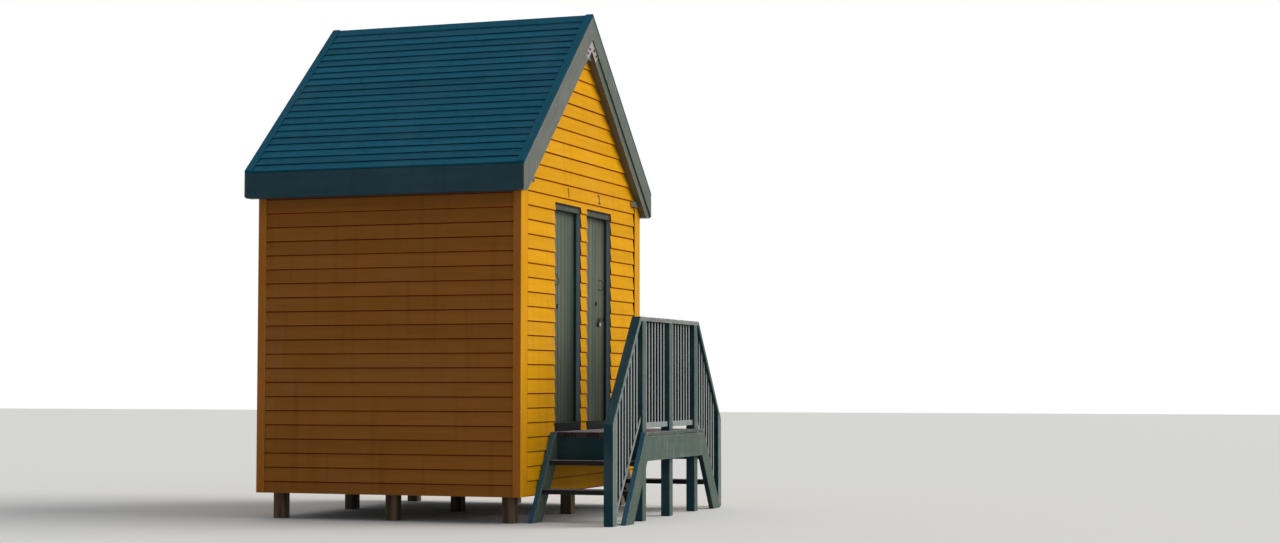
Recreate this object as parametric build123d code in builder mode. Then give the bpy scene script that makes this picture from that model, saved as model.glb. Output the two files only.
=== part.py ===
from build123d import *
from math import atan, cos, sin, tan
import os

os.makedirs("parts", exist_ok=True)

# Hut body, in millimetres. X runs along the front, the front faces -Y, Z is up
body_width = 2950
body_depth = 2400
wall_thickness = 90
corner_board_width = 150
corner_board_return = 70
corner_board_thickness = 20
deck_height = 740
skirt_drop = 520

# Heights below are measured from the landing's top
ridge_height = 3700
eave_height = 2228
eave_box_height = 238
door_sill_height = 45
door_opening_height = 1900
floor_rise = 30

# Roof and its edge boards
eave_overhang = 119
gable_overhang = 95
verge_strip_width = 70
verge_strip_thickness = 18
roof_thickness = 32
barge_depth = 152
barge_thickness = 14
inner_barge_depth = 198
eave_fascia_thickness = 25
soffit_thickness = 18
ridge_cap_leg = 95
ridge_cap_thickness = 12
rafter_pairs = 3
rafter_width = 45
rafter_depth = 90
ridge_board_width = 32
ridge_board_drop = 10
plate_end_height = 45
plate_end_rise = 90
plate_end_length = 218
plate_end_depth = 43
apex_plate_thickness = 3
apex_plate_arm = 150
apex_block_drop = 77
apex_block_depth = 62

# Floor and stilts
stilt_size = 100
stilt_rows = 3
bearer_width = 75
bearer_height = 150
joist_width = 50
joist_height = 100
joist_count = 6
floor_thickness = 22

# Doors
door_opening_width = 694
door_gap_strip = 76
frame_front_thickness = 27
frame_head_extra = 13
frame_rebate = 12
frame_front_depth = 52
frame_depth = 97
door_clearance = 5
door_board_thickness = 24
ledge_height = 110
ledge_inset = 12
ledge_count = 3
ledge_end_distance = 160
brace_width = 95

# Door furniture
hinge_knuckle_radius = 6
hinge_pin_radius = 2.5
hinge_pin_clearance = 0.05
hinge_knuckle_length = 14
hinge_knuckle_gap = 0.4
hinge_plate_thickness = 3
hinge_strap_length = 230
hinge_strap_height = 34
pull_height = 1250
pull_length = 100
pull_reach = 45
pull_rod_radius = 5
pull_bend_radius = 14
pull_edge_distance = 156
hasp_height = 995
hasp_width = 176
hasp_plate_height = 34
hasp_thickness = 3
hasp_edge_distance = 12
staple_inset = 12
staple_rod_radius = 2.5
staple_radius = 9
padlock_width = 42
padlock_height = 38
padlock_depth = 18
shackle_rod_radius = 3.5
shackle_radius = 13
shackle_leg = 14
padlock_play = 0.3
rod_sides = 12

# Landing and its rail
landing_reach = 870
landing_width = 1510
landing_fascia_depth = 238
stair_board_thickness = 45
deck_board_thickness = 50
siding_room = 15
landing_joist_height = 100
landing_joist_offset = 350
end_board_thickness = 30
post_width = 90
post_depth = 80
handrail_height = 970
handrail_thickness = 37
handrail_overhang = 45
handrail_foot_height = 80
flight_run = 725
baluster_size = 30
bay_balusters = 7
flight_balusters = 8
rail_size = 45
bay_rail_height = 35
flight_rail_top = 135
flight_rail_foot = 75
flight_rail_height = 48

# Flights of steps
riser = 235
going = 160
nosing = 25
tread_count = 2
tread_thickness = 40
stringer_level_top = 45

# Places that follow from the sizes above
front_y = (landing_reach - body_depth - gable_overhang) / 2
rear_y = front_y + body_depth
inside_front = front_y + wall_thickness
inside_rear = rear_y - wall_thickness
inside_depth = inside_rear - inside_front
wall_outer = body_width / 2 - corner_board_thickness
wall_inner = wall_outer - wall_thickness
eave_x = body_width / 2 + eave_overhang
fascia_inner = eave_x - eave_fascia_thickness
slope = (ridge_height - eave_height) / eave_x
pitch = atan(slope)
skirt_z = deck_height - skirt_drop
sill_z = deck_height + door_sill_height
head_z = sill_z + door_opening_height
eave_z = deck_height + eave_height - eave_box_height
opening_inner = door_gap_strip / 2
opening_outer = opening_inner + door_opening_width
roof_top_depth = verge_strip_thickness
roof_under_depth = roof_top_depth + roof_thickness
barge_under_depth = roof_top_depth + barge_depth
inner_barge_under_depth = roof_under_depth + inner_barge_depth
barge_back = gable_overhang - barge_thickness
sides = {"left": -1, "right": 1}


def roof_z(x, depth=0):
    """Height of the roof's top line at x, less a depth taken square to the slope."""
    return deck_height + ridge_height - abs(x) * slope - depth / cos(pitch)


def roof_x(z, depth=0):
    """Distance from the centre at which the roof line, less a depth, reaches a height."""
    return (deck_height + ridge_height - depth / cos(pitch) - z) / slope


def block(low, high):
    """Adds a box between two corners to the part that is being built."""
    centre = tuple((a + b) / 2 for a, b in zip(low, high))
    with Locations(centre):
        return Box(*[abs(b - a) for a, b in zip(low, high)])


def board(points, y_start, y_end, mode=Mode.ADD):
    """Adds a board whose outline lies in X and Z, from one Y to a larger one."""
    with BuildSketch(Plane.XZ.offset(-y_end)) as outline:
        with BuildLine():
            Polyline(*points, close=True)
        make_face()
    return extrude(outline.sketch, amount=y_end - y_start, mode=mode)


def save(builder, name):
    """Labels a finished piece and writes its file."""
    builder.part.label = name
    export_step(builder.part, f"parts/{name}.step")


# Stilts, in rows under the three bearers
floor_z = deck_height + floor_rise
joist_top = floor_z - floor_thickness
bearer_top = joist_top - joist_height
bearer_bottom = bearer_top - bearer_height
stilt_x = wall_inner - stilt_size / 2
stilt_y_front = inside_front + stilt_size / 2
stilt_y_rear = inside_rear - stilt_size / 2
stilt_y_gap = (stilt_y_rear - stilt_y_front) / (stilt_rows - 1)
middle_y = (front_y + rear_y) / 2

with BuildPart() as stilts:
    with Locations((0, middle_y, bearer_bottom / 2)):
        with GridLocations(stilt_x, stilt_y_gap, 3, stilt_rows):
            Box(stilt_size, stilt_size, bearer_bottom)
save(stilts, "stilts")

with BuildPart() as bearers:
    with Locations((0, middle_y, bearer_bottom + bearer_height / 2)):
        with GridLocations(1, stilt_y_gap, 1, stilt_rows):
            Box(2 * wall_inner, bearer_width, bearer_height)
save(bearers, "bearers")

joist_gap = (2 * wall_inner - joist_width) / (joist_count - 1)

with BuildPart() as joists:
    with Locations((0, middle_y, bearer_top + joist_height / 2)):
        with GridLocations(joist_gap, 1, joist_count, 1):
            Box(joist_width, inside_depth, joist_height)
save(joists, "floor_joists")

with BuildPart() as floor:
    with Locations((0, middle_y, floor_z - floor_thickness / 2)):
        Box(2 * wall_inner, inside_depth, floor_thickness)
save(floor, "floor")

# Front wall, in pieces round the two doorways
for side, way in sides.items():
    with BuildPart() as front_wall:
        block((way * opening_outer, front_y, skirt_z), (way * wall_outer, inside_front, head_z))
    save(front_wall, f"front_wall_{side}")

with BuildPart() as front_wall_middle:
    block((-opening_inner, front_y, sill_z), (opening_inner, inside_front, head_z))
save(front_wall_middle, "front_wall_middle")

with BuildPart() as front_skirt:
    block((-opening_outer, front_y, skirt_z), (opening_outer, inside_front, sill_z))
save(front_skirt, "front_skirt")

wall_top = roof_z(wall_outer, roof_under_depth)
wall_peak = [(wall_outer, wall_top), (0, roof_z(0, roof_under_depth)), (-wall_outer, wall_top)]

with BuildPart() as front_gable:
    board(
        [(-wall_outer, head_z), (wall_outer, head_z), *wall_peak],
        front_y,
        inside_front,
    )
save(front_gable, "front_gable")

# Back wall, one slab up to the roof
with BuildPart() as back_wall:
    board(
        [(-wall_outer, skirt_z), (wall_outer, skirt_z), *wall_peak],
        inside_rear,
        rear_y,
    )
save(back_wall, "back_wall")

# Side walls, with their tops cut to the roof's slope
for side, way in sides.items():
    with BuildPart() as side_wall:
        board(
            [
                (way * wall_inner, skirt_z),
                (way * wall_outer, skirt_z),
                (way * wall_outer, wall_top),
                (way * wall_inner, roof_z(wall_inner, roof_under_depth)),
            ],
            inside_front,
            inside_rear,
        )
    save(side_wall, f"{side}_wall")

# Corner boards: a wide face that rises to the block ends and a narrow return along the side
plate_end_low = eave_z + plate_end_rise
corner_inner = body_width / 2 - corner_board_width
corner_side_top = roof_z(body_width / 2, inner_barge_under_depth)

for end, face_y, inward in (("front", front_y, 1), ("back", rear_y, -1)):
    with BuildPart() as corner_boards:
        for way in (-1, 1):
            outer_y = face_y - inward * corner_board_thickness
            board(
                [
                    (way * corner_inner, skirt_z),
                    (way * corner_inner, plate_end_low),
                    (way * roof_x(plate_end_low, inner_barge_under_depth), plate_end_low),
                    (way * body_width / 2, corner_side_top),
                    (way * body_width / 2, skirt_z),
                ],
                min(outer_y, face_y),
                max(outer_y, face_y),
            )
            block(
                (way * wall_outer, outer_y, skirt_z),
                (way * body_width / 2, outer_y + inward * corner_board_return, eave_z),
            )
    save(corner_boards, f"{end}_corner_boards")

# Roof slopes, from the ridge to the eave fascias
for side, way in sides.items():
    with BuildPart() as roof_slope:
        board(
            [
                (0, roof_z(0, roof_top_depth)),
                (way * fascia_inner, roof_z(fascia_inner, roof_top_depth)),
                (way * fascia_inner, roof_z(fascia_inner, roof_under_depth)),
                (0, roof_z(0, roof_under_depth)),
            ],
            front_y - barge_back,
            rear_y + barge_back,
        )
    save(roof_slope, f"roof_{side}")

# Rafters, in pairs that meet the ridge board between the gable walls
rafter_under_depth = roof_under_depth + rafter_depth
ridge_half = ridge_board_width / 2
rafter_gap = inside_depth / (rafter_pairs + 1)

with BuildPart() as ridge_board:
    board(
        [
            (0, roof_z(0, roof_under_depth)),
            (ridge_half, roof_z(ridge_half, roof_under_depth)),
            (ridge_half, roof_z(ridge_half, rafter_under_depth) - ridge_board_drop),
            (-ridge_half, roof_z(ridge_half, rafter_under_depth) - ridge_board_drop),
            (-ridge_half, roof_z(ridge_half, roof_under_depth)),
        ],
        inside_front,
        inside_rear,
    )
save(ridge_board, "ridge_board")

with BuildPart() as rafters:
    for way in (-1, 1):
        for pair in range(1, rafter_pairs + 1):
            rafter_y = inside_front + pair * rafter_gap
            board(
                [
                    (way * ridge_half, roof_z(ridge_half, roof_under_depth)),
                    (way * wall_inner, roof_z(wall_inner, roof_under_depth)),
                    (way * wall_inner, roof_z(wall_inner, rafter_under_depth)),
                    (way * ridge_half, roof_z(ridge_half, rafter_under_depth)),
                ],
                rafter_y - rafter_width / 2,
                rafter_y + rafter_width / 2,
            )
save(rafters, "rafters")

# Ridge cap, bent over both slopes between the verge strips
cap_x = ridge_cap_leg * cos(pitch)
cap_top_depth = roof_top_depth - ridge_cap_thickness
strip_inner_y = verge_strip_width - gable_overhang

with BuildPart() as ridge_cap:
    board(
        [
            (0, roof_z(0, cap_top_depth)),
            (cap_x, roof_z(cap_x, cap_top_depth)),
            (cap_x, roof_z(cap_x, roof_top_depth)),
            (0, roof_z(0, roof_top_depth)),
            (-cap_x, roof_z(cap_x, roof_top_depth)),
            (-cap_x, roof_z(cap_x, cap_top_depth)),
        ],
        front_y + strip_inner_y,
        rear_y - strip_inner_y,
    )
save(ridge_cap, "ridge_cap")

# Block ends that show under the barge boards, one at each corner
plate_end_top = plate_end_low + plate_end_height
plate_end_outer = roof_x(plate_end_top, barge_under_depth)
plate_end_inner = plate_end_outer - plate_end_length

with BuildPart() as plate_ends:
    for way in (-1, 1):
        for y_a, y_b in ((front_y - plate_end_depth, front_y), (rear_y, rear_y + plate_end_depth)):
            block((way * plate_end_inner, y_a, plate_end_low), (way * plate_end_outer, y_b, plate_end_top))
save(plate_ends, "plate_ends")

# Edge boards of each slope: barge boards, inner barge boards and verge strips
notch_z = roof_z(0, inner_barge_under_depth)
apex_block_low = notch_z - apex_block_drop

for side, way in sides.items():
    with BuildPart() as barge_boards:
        outline = [
            (0, roof_z(0, roof_top_depth)),
            (way * eave_x, roof_z(eave_x, roof_top_depth)),
            (way * eave_x, roof_z(eave_x, barge_under_depth)),
            (0, roof_z(0, barge_under_depth)),
        ]
        board(outline, front_y - gable_overhang, front_y - barge_back)
        board(outline, rear_y + barge_back, rear_y + gable_overhang)
    save(barge_boards, f"{side}_barge_boards")

    with BuildPart() as inner_barges:
        outline = [
            (0, roof_z(0, roof_under_depth)),
            (way * fascia_inner, roof_z(fascia_inner, roof_under_depth)),
            (way * fascia_inner, eave_z),
            (way * roof_x(eave_z, inner_barge_under_depth), eave_z),
            (0, roof_z(0, inner_barge_under_depth)),
        ]
        board(outline, front_y - barge_back, front_y)
        board(outline, rear_y, rear_y + barge_back)
        corner = [(0, notch_z), (way * apex_block_drop / slope, apex_block_low), (0, apex_block_low)]
        board(corner, front_y - apex_block_depth, front_y)
        board(corner, rear_y, rear_y + apex_block_depth)
        add(plate_ends.part, mode=Mode.SUBTRACT)
    save(inner_barges, f"{side}_inner_barge_boards")

    with BuildPart() as verge_strips:
        outline = [
            (0, roof_z(0)),
            (way * eave_x, roof_z(eave_x)),
            (way * eave_x, roof_z(eave_x, roof_top_depth)),
            (0, roof_z(0, roof_top_depth)),
        ]
        board(outline, front_y - gable_overhang, front_y + strip_inner_y)
        board(outline, rear_y - strip_inner_y, rear_y + gable_overhang)
    save(verge_strips, f"{side}_verge_strips")

# Boxed eaves: a fascia board and a soffit along each side
with BuildPart() as eave_fascias:
    for way in (-1, 1):
        board(
            [
                (way * fascia_inner, eave_z),
                (way * eave_x, eave_z),
                (way * eave_x, roof_z(eave_x, roof_top_depth)),
                (way * fascia_inner, roof_z(fascia_inner, roof_top_depth)),
            ],
            front_y - barge_back,
            rear_y + barge_back,
        )
save(eave_fascias, "eave_fascias")

with BuildPart() as soffits:
    for way in (-1, 1):
        block((way * wall_outer, front_y, eave_z), (way * fascia_inner, rear_y, eave_z + soffit_thickness))
save(soffits, "soffits")

# Bent nail plates that tie the inner barge boards at the apex
plate_width = inner_barge_under_depth - barge_under_depth
arm_low_x = apex_plate_arm - plate_width * sin(pitch)
arm_low_z = roof_z(arm_low_x, inner_barge_under_depth)

with BuildPart() as apex_plates:
    outline = [
        (0, roof_z(0, barge_under_depth)),
        (apex_plate_arm, roof_z(apex_plate_arm, barge_under_depth)),
        (arm_low_x, arm_low_z),
        (0, notch_z),
        (-arm_low_x, arm_low_z),
        (-apex_plate_arm, roof_z(apex_plate_arm, barge_under_depth)),
    ]
    board(outline, front_y - barge_back - apex_plate_thickness, front_y - barge_back)
    board(outline, rear_y + barge_back, rear_y + barge_back + apex_plate_thickness)
save(apex_plates, "apex_plates")

# Rebated door frames and ledged doors, hung on the strip between the doorways
frame_rear_thickness = frame_front_thickness - frame_rebate
frame_back_y = front_y + frame_depth
rebate_y = front_y + frame_front_depth
leaf_y = rebate_y + door_clearance
leaf_board_back = leaf_y + door_board_thickness
leaf_inner = opening_inner + frame_rear_thickness + door_clearance
leaf_outer = opening_outer - frame_rear_thickness - door_clearance
leaf_low = sill_z + frame_rear_thickness + door_clearance
leaf_top = head_z - frame_head_extra - frame_rear_thickness - door_clearance
ledge_start = leaf_inner + ledge_inset
ledge_end = leaf_outer - ledge_inset
hinge_x = leaf_inner - door_clearance / 2
hinge_y = frame_back_y + hinge_knuckle_radius
ledge_gap = (leaf_top - leaf_low - 2 * ledge_end_distance) / (ledge_count - 1)
ledge_heights = [leaf_low + ledge_end_distance + n * ledge_gap for n in range(ledge_count)]
hinge_heights = [ledge_heights[0], ledge_heights[-1]]
strap_start = hinge_knuckle_radius + 3
knuckle_step = hinge_knuckle_length + hinge_knuckle_gap

for side, way in sides.items():
    with BuildPart() as door_frame:
        block((way * opening_inner, front_y, sill_z), (way * opening_outer, frame_back_y, head_z))
        with BuildPart(mode=Mode.PRIVATE) as clear_way:
            block(
                (way * (opening_inner + frame_front_thickness), front_y, sill_z + frame_front_thickness),
                (
                    way * (opening_outer - frame_front_thickness),
                    rebate_y,
                    head_z - frame_front_thickness - frame_head_extra,
                ),
            )
            block(
                (way * (opening_inner + frame_rear_thickness), rebate_y, sill_z + frame_rear_thickness),
                (
                    way * (opening_outer - frame_rear_thickness),
                    frame_back_y,
                    head_z - frame_rear_thickness - frame_head_extra,
                ),
            )
        add(clear_way.part, mode=Mode.SUBTRACT)
    save(door_frame, f"{side}_door_frame")

    # The leaf is a face of upright boards, with ledges across its back and a brace between each two
    with BuildPart() as door_leaf:
        block((way * leaf_inner, leaf_y, leaf_low), (way * leaf_outer, leaf_board_back, leaf_top))
        for height in ledge_heights:
            block(
                (way * ledge_start, leaf_board_back, height - ledge_height / 2),
                (way * ledge_end, frame_back_y, height + ledge_height / 2),
            )
        for below, above in zip(ledge_heights, ledge_heights[1:]):
            board(
                [
                    (way * ledge_start, below + ledge_height / 2),
                    (way * (ledge_start + brace_width), below + ledge_height / 2),
                    (way * ledge_end, above - ledge_height / 2),
                    (way * (ledge_end - brace_width), above - ledge_height / 2),
                ],
                leaf_board_back,
                frame_back_y,
            )
    save(door_leaf, f"{side}_door")

    # Strap hinges: the frame carries the pin and two knuckles, the door carries the middle one
    with BuildPart() as frame_hinges:
        for height in hinge_heights:
            with Locations((way * hinge_x, hinge_y, height)):
                Cylinder(hinge_pin_radius, 3 * hinge_knuckle_length + 2 * hinge_knuckle_gap)
            for shift in (-knuckle_step, knuckle_step):
                with Locations((way * hinge_x, hinge_y, height + shift)):
                    Cylinder(hinge_knuckle_radius, hinge_knuckle_length)
                block(
                    (way * hinge_x, frame_back_y, height + shift - hinge_knuckle_length / 2),
                    (
                        way * (hinge_x - strap_start),
                        frame_back_y + hinge_plate_thickness,
                        height + shift + hinge_knuckle_length / 2,
                    ),
                )
            block(
                (way * (hinge_x - strap_start), frame_back_y, height - 1.5 * knuckle_step),
                (way * opening_inner, frame_back_y + hinge_plate_thickness, height + 1.5 * knuckle_step),
            )
    save(frame_hinges, f"{side}_frame_hinges")

    with BuildPart() as door_straps:
        for height in hinge_heights:
            with Locations((way * hinge_x, hinge_y, height)):
                Cylinder(hinge_knuckle_radius, hinge_knuckle_length)
            block(
                (way * hinge_x, frame_back_y, height - hinge_knuckle_length / 2),
                (
                    way * (hinge_x + ledge_inset + hinge_plate_thickness),
                    frame_back_y + hinge_plate_thickness,
                    height + hinge_knuckle_length / 2,
                ),
            )
            block(
                (way * (hinge_x + ledge_inset), frame_back_y, height - hinge_strap_height / 2),
                (
                    way * (hinge_x + hinge_strap_length),
                    frame_back_y + hinge_plate_thickness,
                    height + hinge_strap_height / 2,
                ),
            )
            with Locations((way * hinge_x, hinge_y, height)):
                Cylinder(
                    hinge_pin_radius + hinge_pin_clearance,
                    hinge_knuckle_length,
                    mode=Mode.SUBTRACT,
                )
    save(door_straps, f"{side}_door_straps")

    # Pull handle: a rod bent into a D near the edge that opens
    pull_x = way * (leaf_outer - pull_edge_distance)
    pull_low = deck_height + pull_height
    pull_high = pull_low + pull_length
    with BuildPart() as door_pull:
        with BuildLine() as rod_path:
            FilletPolyline(
                (pull_x, leaf_y, pull_low),
                (pull_x, leaf_y - pull_reach, pull_low),
                (pull_x, leaf_y - pull_reach, pull_high),
                (pull_x, leaf_y, pull_high),
                radius=pull_bend_radius,
            )
        with BuildSketch(Plane(origin=rod_path.line @ 0, z_dir=rod_path.line % 0)):
            RegularPolygon(pull_rod_radius, rod_sides)
        sweep()
    save(door_pull, f"{side}_door_pull")

# Hasp on the right door: a flat plate with a staple that stands out from it
hasp_x = leaf_outer - hasp_edge_distance - hasp_width
hasp_z = deck_height + hasp_height
staple_x = hasp_x + staple_inset
hasp_face_y = leaf_y - hasp_thickness
staple_centre_y = hasp_face_y - staple_radius

with BuildPart() as hasp:
    block(
        (hasp_x, hasp_face_y, hasp_z - hasp_plate_height / 2),
        (hasp_x + hasp_width, leaf_y, hasp_z + hasp_plate_height / 2),
    )
    staple_high = hasp_z + staple_radius
    staple_low = hasp_z - staple_radius
    with BuildLine() as staple_path:
        Line((staple_x, hasp_face_y, staple_high), (staple_x, staple_centre_y, staple_high))
        ThreePointArc(
            (staple_x, staple_centre_y, staple_high),
            (staple_x, staple_centre_y - staple_radius, hasp_z),
            (staple_x, staple_centre_y, staple_low),
        )
        Line((staple_x, staple_centre_y, staple_low), (staple_x, hasp_face_y, staple_low))
    with BuildSketch(Plane(origin=staple_path.line @ 0, z_dir=staple_path.line % 0)):
        RegularPolygon(staple_rod_radius, rod_sides)
    sweep()
save(hasp, "hasp")

# Padlock, hanging from the staple by its shackle
shackle_top = hasp_z - staple_radius + staple_rod_radius + padlock_play + 2 * shackle_rod_radius
shackle_bend_z = shackle_top - shackle_rod_radius - shackle_radius
padlock_top = shackle_bend_z - shackle_leg
padlock_y = staple_centre_y - 1

with BuildPart() as padlock:
    block(
        (staple_x - padlock_width / 2, padlock_y - padlock_depth / 2, padlock_top - padlock_height),
        (staple_x + padlock_width / 2, padlock_y + padlock_depth / 2, padlock_top),
    )
    fillet(padlock.edges().filter_by(Axis.Y), radius=padlock_depth / 4)
    shackle_a = staple_x - shackle_radius
    shackle_b = staple_x + shackle_radius
    with BuildLine() as shackle_path:
        Line((shackle_a, padlock_y, padlock_top), (shackle_a, padlock_y, shackle_bend_z))
        ThreePointArc(
            (shackle_a, padlock_y, shackle_bend_z),
            (staple_x, padlock_y, shackle_bend_z + shackle_radius),
            (shackle_b, padlock_y, shackle_bend_z),
        )
        Line((shackle_b, padlock_y, shackle_bend_z), (shackle_b, padlock_y, padlock_top))
    with BuildSketch(Plane(origin=shackle_path.line @ 0, z_dir=shackle_path.line % 0)):
        RegularPolygon(shackle_rod_radius, rod_sides)
    sweep()
save(padlock, "padlock")

# Landing: posts, deck, fascia, ledger, joists and end boards
landing_end = landing_width / 2
fascia_front_y = front_y - landing_reach
fascia_back_y = fascia_front_y + stair_board_thickness
post_back_y = fascia_back_y + post_depth
rail_centre_y = fascia_back_y + post_depth / 2
deck_under = deck_height - deck_board_thickness
handrail_under = deck_height + handrail_height - handrail_thickness
post_spans = [
    (-landing_end, -landing_end + post_width),
    (-post_width / 2, post_width / 2),
    (landing_end - post_width, landing_end),
]

with BuildPart() as landing_posts:
    for x_a, x_b in post_spans:
        block((x_a, fascia_back_y, 0), (x_b, post_back_y, handrail_under))
save(landing_posts, "landing_posts")

with BuildPart() as landing_deck:
    block((-landing_end, fascia_back_y, deck_under), (landing_end, front_y - siding_room, deck_height))
    add(landing_posts.part, mode=Mode.SUBTRACT)
save(landing_deck, "landing_deck")

with BuildPart() as landing_fascia:
    block(
        (-landing_end, fascia_front_y, deck_height - landing_fascia_depth),
        (landing_end, fascia_back_y, deck_height),
    )
save(landing_fascia, "landing_fascia")

board_inner = landing_end - end_board_thickness

with BuildPart() as landing_ledger:
    block(
        (-board_inner, front_y - stair_board_thickness, deck_height - landing_fascia_depth),
        (board_inner, front_y, deck_under),
    )
save(landing_ledger, "landing_ledger")

with BuildPart() as landing_joists:
    for way in (-1, 1):
        centre_x = way * landing_joist_offset
        block(
            (centre_x - stair_board_thickness / 2, fascia_back_y, deck_under - landing_joist_height),
            (centre_x + stair_board_thickness / 2, front_y - stair_board_thickness, deck_under),
        )
save(landing_joists, "landing_joists")

with BuildPart() as landing_end_boards:
    for way in (-1, 1):
        block(
            (way * board_inner, post_back_y, deck_height - riser),
            (way * landing_end, front_y - siding_room, deck_under),
        )
save(landing_end_boards, "landing_end_boards")

# Flights: two sloping stringers with two treads between them, on each side
flight_slope = riser / going
stringer_back_y = front_y - siding_room - stair_board_thickness
string_top_x = landing_end + stringer_level_top + deck_height / flight_slope
string_foot_x = landing_end + (deck_height - landing_fascia_depth) / flight_slope

for side, way in sides.items():
    with BuildPart() as stringers:
        outline = [
            (way * landing_end, deck_height),
            (way * (landing_end + stringer_level_top), deck_height),
            (way * string_top_x, 0),
            (way * string_foot_x, 0),
            (way * landing_end, deck_height - landing_fascia_depth),
        ]
        board(outline, fascia_front_y, fascia_back_y)
        board(outline, stringer_back_y, stringer_back_y + stair_board_thickness)
    save(stringers, f"{side}_stringers")

    with BuildPart() as treads:
        for step in range(tread_count):
            tread_x = landing_end + step * going
            tread_top = deck_height - (step + 1) * riser
            block(
                (way * tread_x, fascia_back_y, tread_top - tread_thickness),
                (way * (tread_x + going + nosing), stringer_back_y, tread_top),
            )
    save(treads, f"{side}_treads")

# Handrails: one level length and one down each flight, mitred where they meet
newel_outer = landing_end + flight_run
rail_flat_end = landing_end + handrail_overhang
handrail_top = deck_height + handrail_height
rail_slope = (handrail_height - handrail_foot_height) / (newel_outer - rail_flat_end)
rail_pitch = atan(rail_slope)
rail_plumb = handrail_thickness / cos(rail_pitch)
mitre_x = rail_flat_end - handrail_thickness * tan(rail_pitch / 2)


def handrail_z(x, drop=0):
    """Height of the sloping handrail's top at x, less a drop measured plumb."""
    return handrail_top - (abs(x) - rail_flat_end) * rail_slope - drop


with BuildPart() as top_handrail:
    board(
        [
            (-rail_flat_end, handrail_top),
            (rail_flat_end, handrail_top),
            (mitre_x, handrail_under),
            (-mitre_x, handrail_under),
        ],
        fascia_back_y,
        post_back_y,
    )
save(top_handrail, "top_handrail")

newel_inner = newel_outer - post_width

with BuildPart() as newels:
    for way in (-1, 1):
        board(
            [
                (way * newel_inner, 0),
                (way * newel_outer, 0),
                (way * newel_outer, handrail_z(newel_outer, rail_plumb)),
                (way * newel_inner, handrail_z(newel_inner, rail_plumb)),
            ],
            fascia_back_y,
            post_back_y,
        )
save(newels, "newels")

for side, way in sides.items():
    with BuildPart() as handrail:
        board(
            [
                (way * rail_flat_end, handrail_top),
                (way * newel_outer, handrail_z(newel_outer)),
                (way * newel_outer, handrail_z(newel_outer, rail_plumb)),
                (way * mitre_x, handrail_under),
            ],
            fascia_back_y,
            post_back_y,
        )
    save(handrail, f"{side}_handrail")

# Baluster panels: square bars on a bottom rail, two level bays and two sloping ones
bar_front_y = rail_centre_y - baluster_size / 2
bar_back_y = rail_centre_y + baluster_size / 2
rail_front_y = rail_centre_y - rail_size / 2
rail_back_y = rail_centre_y + rail_size / 2
bay_inner = post_width / 2
bay_outer = landing_end - post_width
bay_rail_z = deck_height + bay_rail_height
bay_pitch = (bay_outer - bay_inner) / (bay_balusters + 1)
flight_pitch = (newel_inner - landing_end) / (flight_balusters + 1)
flight_rail_high = deck_height + flight_rail_top
flight_rail_slope = (flight_rail_high - flight_rail_foot) / (newel_inner - landing_end)


def flight_rail_z(x):
    """Height of the top of the sloping bottom rail at x."""
    return flight_rail_high - (x - landing_end) * flight_rail_slope


for side, way in sides.items():
    with BuildPart() as bay_balusters_panel:
        block(
            (way * bay_inner, rail_front_y, bay_rail_z),
            (way * bay_outer, rail_back_y, bay_rail_z + rail_size),
        )
        for number in range(1, bay_balusters + 1):
            bar_x = way * (bay_inner + number * bay_pitch)
            block(
                (bar_x - baluster_size / 2, bar_front_y, bay_rail_z + rail_size / 2),
                (bar_x + baluster_size / 2, bar_back_y, handrail_under),
            )
    save(bay_balusters_panel, f"{side}_bay_balusters")

    with BuildPart() as flight_balusters_panel:
        board(
            [
                (way * landing_end, flight_rail_z(landing_end)),
                (way * newel_inner, flight_rail_z(newel_inner)),
                (way * newel_inner, flight_rail_z(newel_inner) - flight_rail_height),
                (way * landing_end, flight_rail_z(landing_end) - flight_rail_height),
            ],
            rail_front_y,
            rail_back_y,
        )
        for number in range(1, flight_balusters + 1):
            bar_a = landing_end + number * flight_pitch - baluster_size / 2
            bar_b = bar_a + baluster_size
            board(
                [
                    (way * bar_a, flight_rail_z(bar_a) - flight_rail_height / 2),
                    (way * bar_b, flight_rail_z(bar_b) - flight_rail_height / 2),
                    (way * bar_b, handrail_z(bar_b, rail_plumb)),
                    (way * bar_a, handrail_z(bar_a, rail_plumb)),
                ],
                bar_front_y,
                bar_back_y,
            )
    save(flight_balusters_panel, f"{side}_flight_balusters")
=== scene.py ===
"""Dresses a timber beach hut on stilts: its boards, doors, ironwork and weathered paint."""

from __future__ import annotations

import logging
import math
import random
from contextlib import contextmanager
from dataclasses import dataclass, replace
from enum import Enum
from typing import Callable, Iterator, Optional, Sequence, Union

import bpy
from mathutils import Matrix, Vector


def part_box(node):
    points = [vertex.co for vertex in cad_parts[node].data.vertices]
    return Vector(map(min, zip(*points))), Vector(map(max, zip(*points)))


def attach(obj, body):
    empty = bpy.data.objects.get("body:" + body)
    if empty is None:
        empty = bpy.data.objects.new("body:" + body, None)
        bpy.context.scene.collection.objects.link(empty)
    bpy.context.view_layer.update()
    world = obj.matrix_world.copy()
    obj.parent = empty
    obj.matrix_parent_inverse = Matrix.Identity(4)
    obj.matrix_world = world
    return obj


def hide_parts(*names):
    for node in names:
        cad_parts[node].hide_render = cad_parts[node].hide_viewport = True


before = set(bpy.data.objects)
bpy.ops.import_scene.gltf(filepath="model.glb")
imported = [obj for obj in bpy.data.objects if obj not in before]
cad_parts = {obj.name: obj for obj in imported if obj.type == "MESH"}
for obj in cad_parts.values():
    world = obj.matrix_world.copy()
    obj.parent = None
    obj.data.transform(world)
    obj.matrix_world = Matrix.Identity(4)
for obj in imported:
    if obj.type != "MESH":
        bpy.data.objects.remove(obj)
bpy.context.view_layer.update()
log = logging.getLogger("beach_hut")

Piece = bpy.types.Object
Socket = bpy.types.NodeSocket
Colour = tuple[float, float, float, float]
Value = Union[Socket, float]

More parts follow.
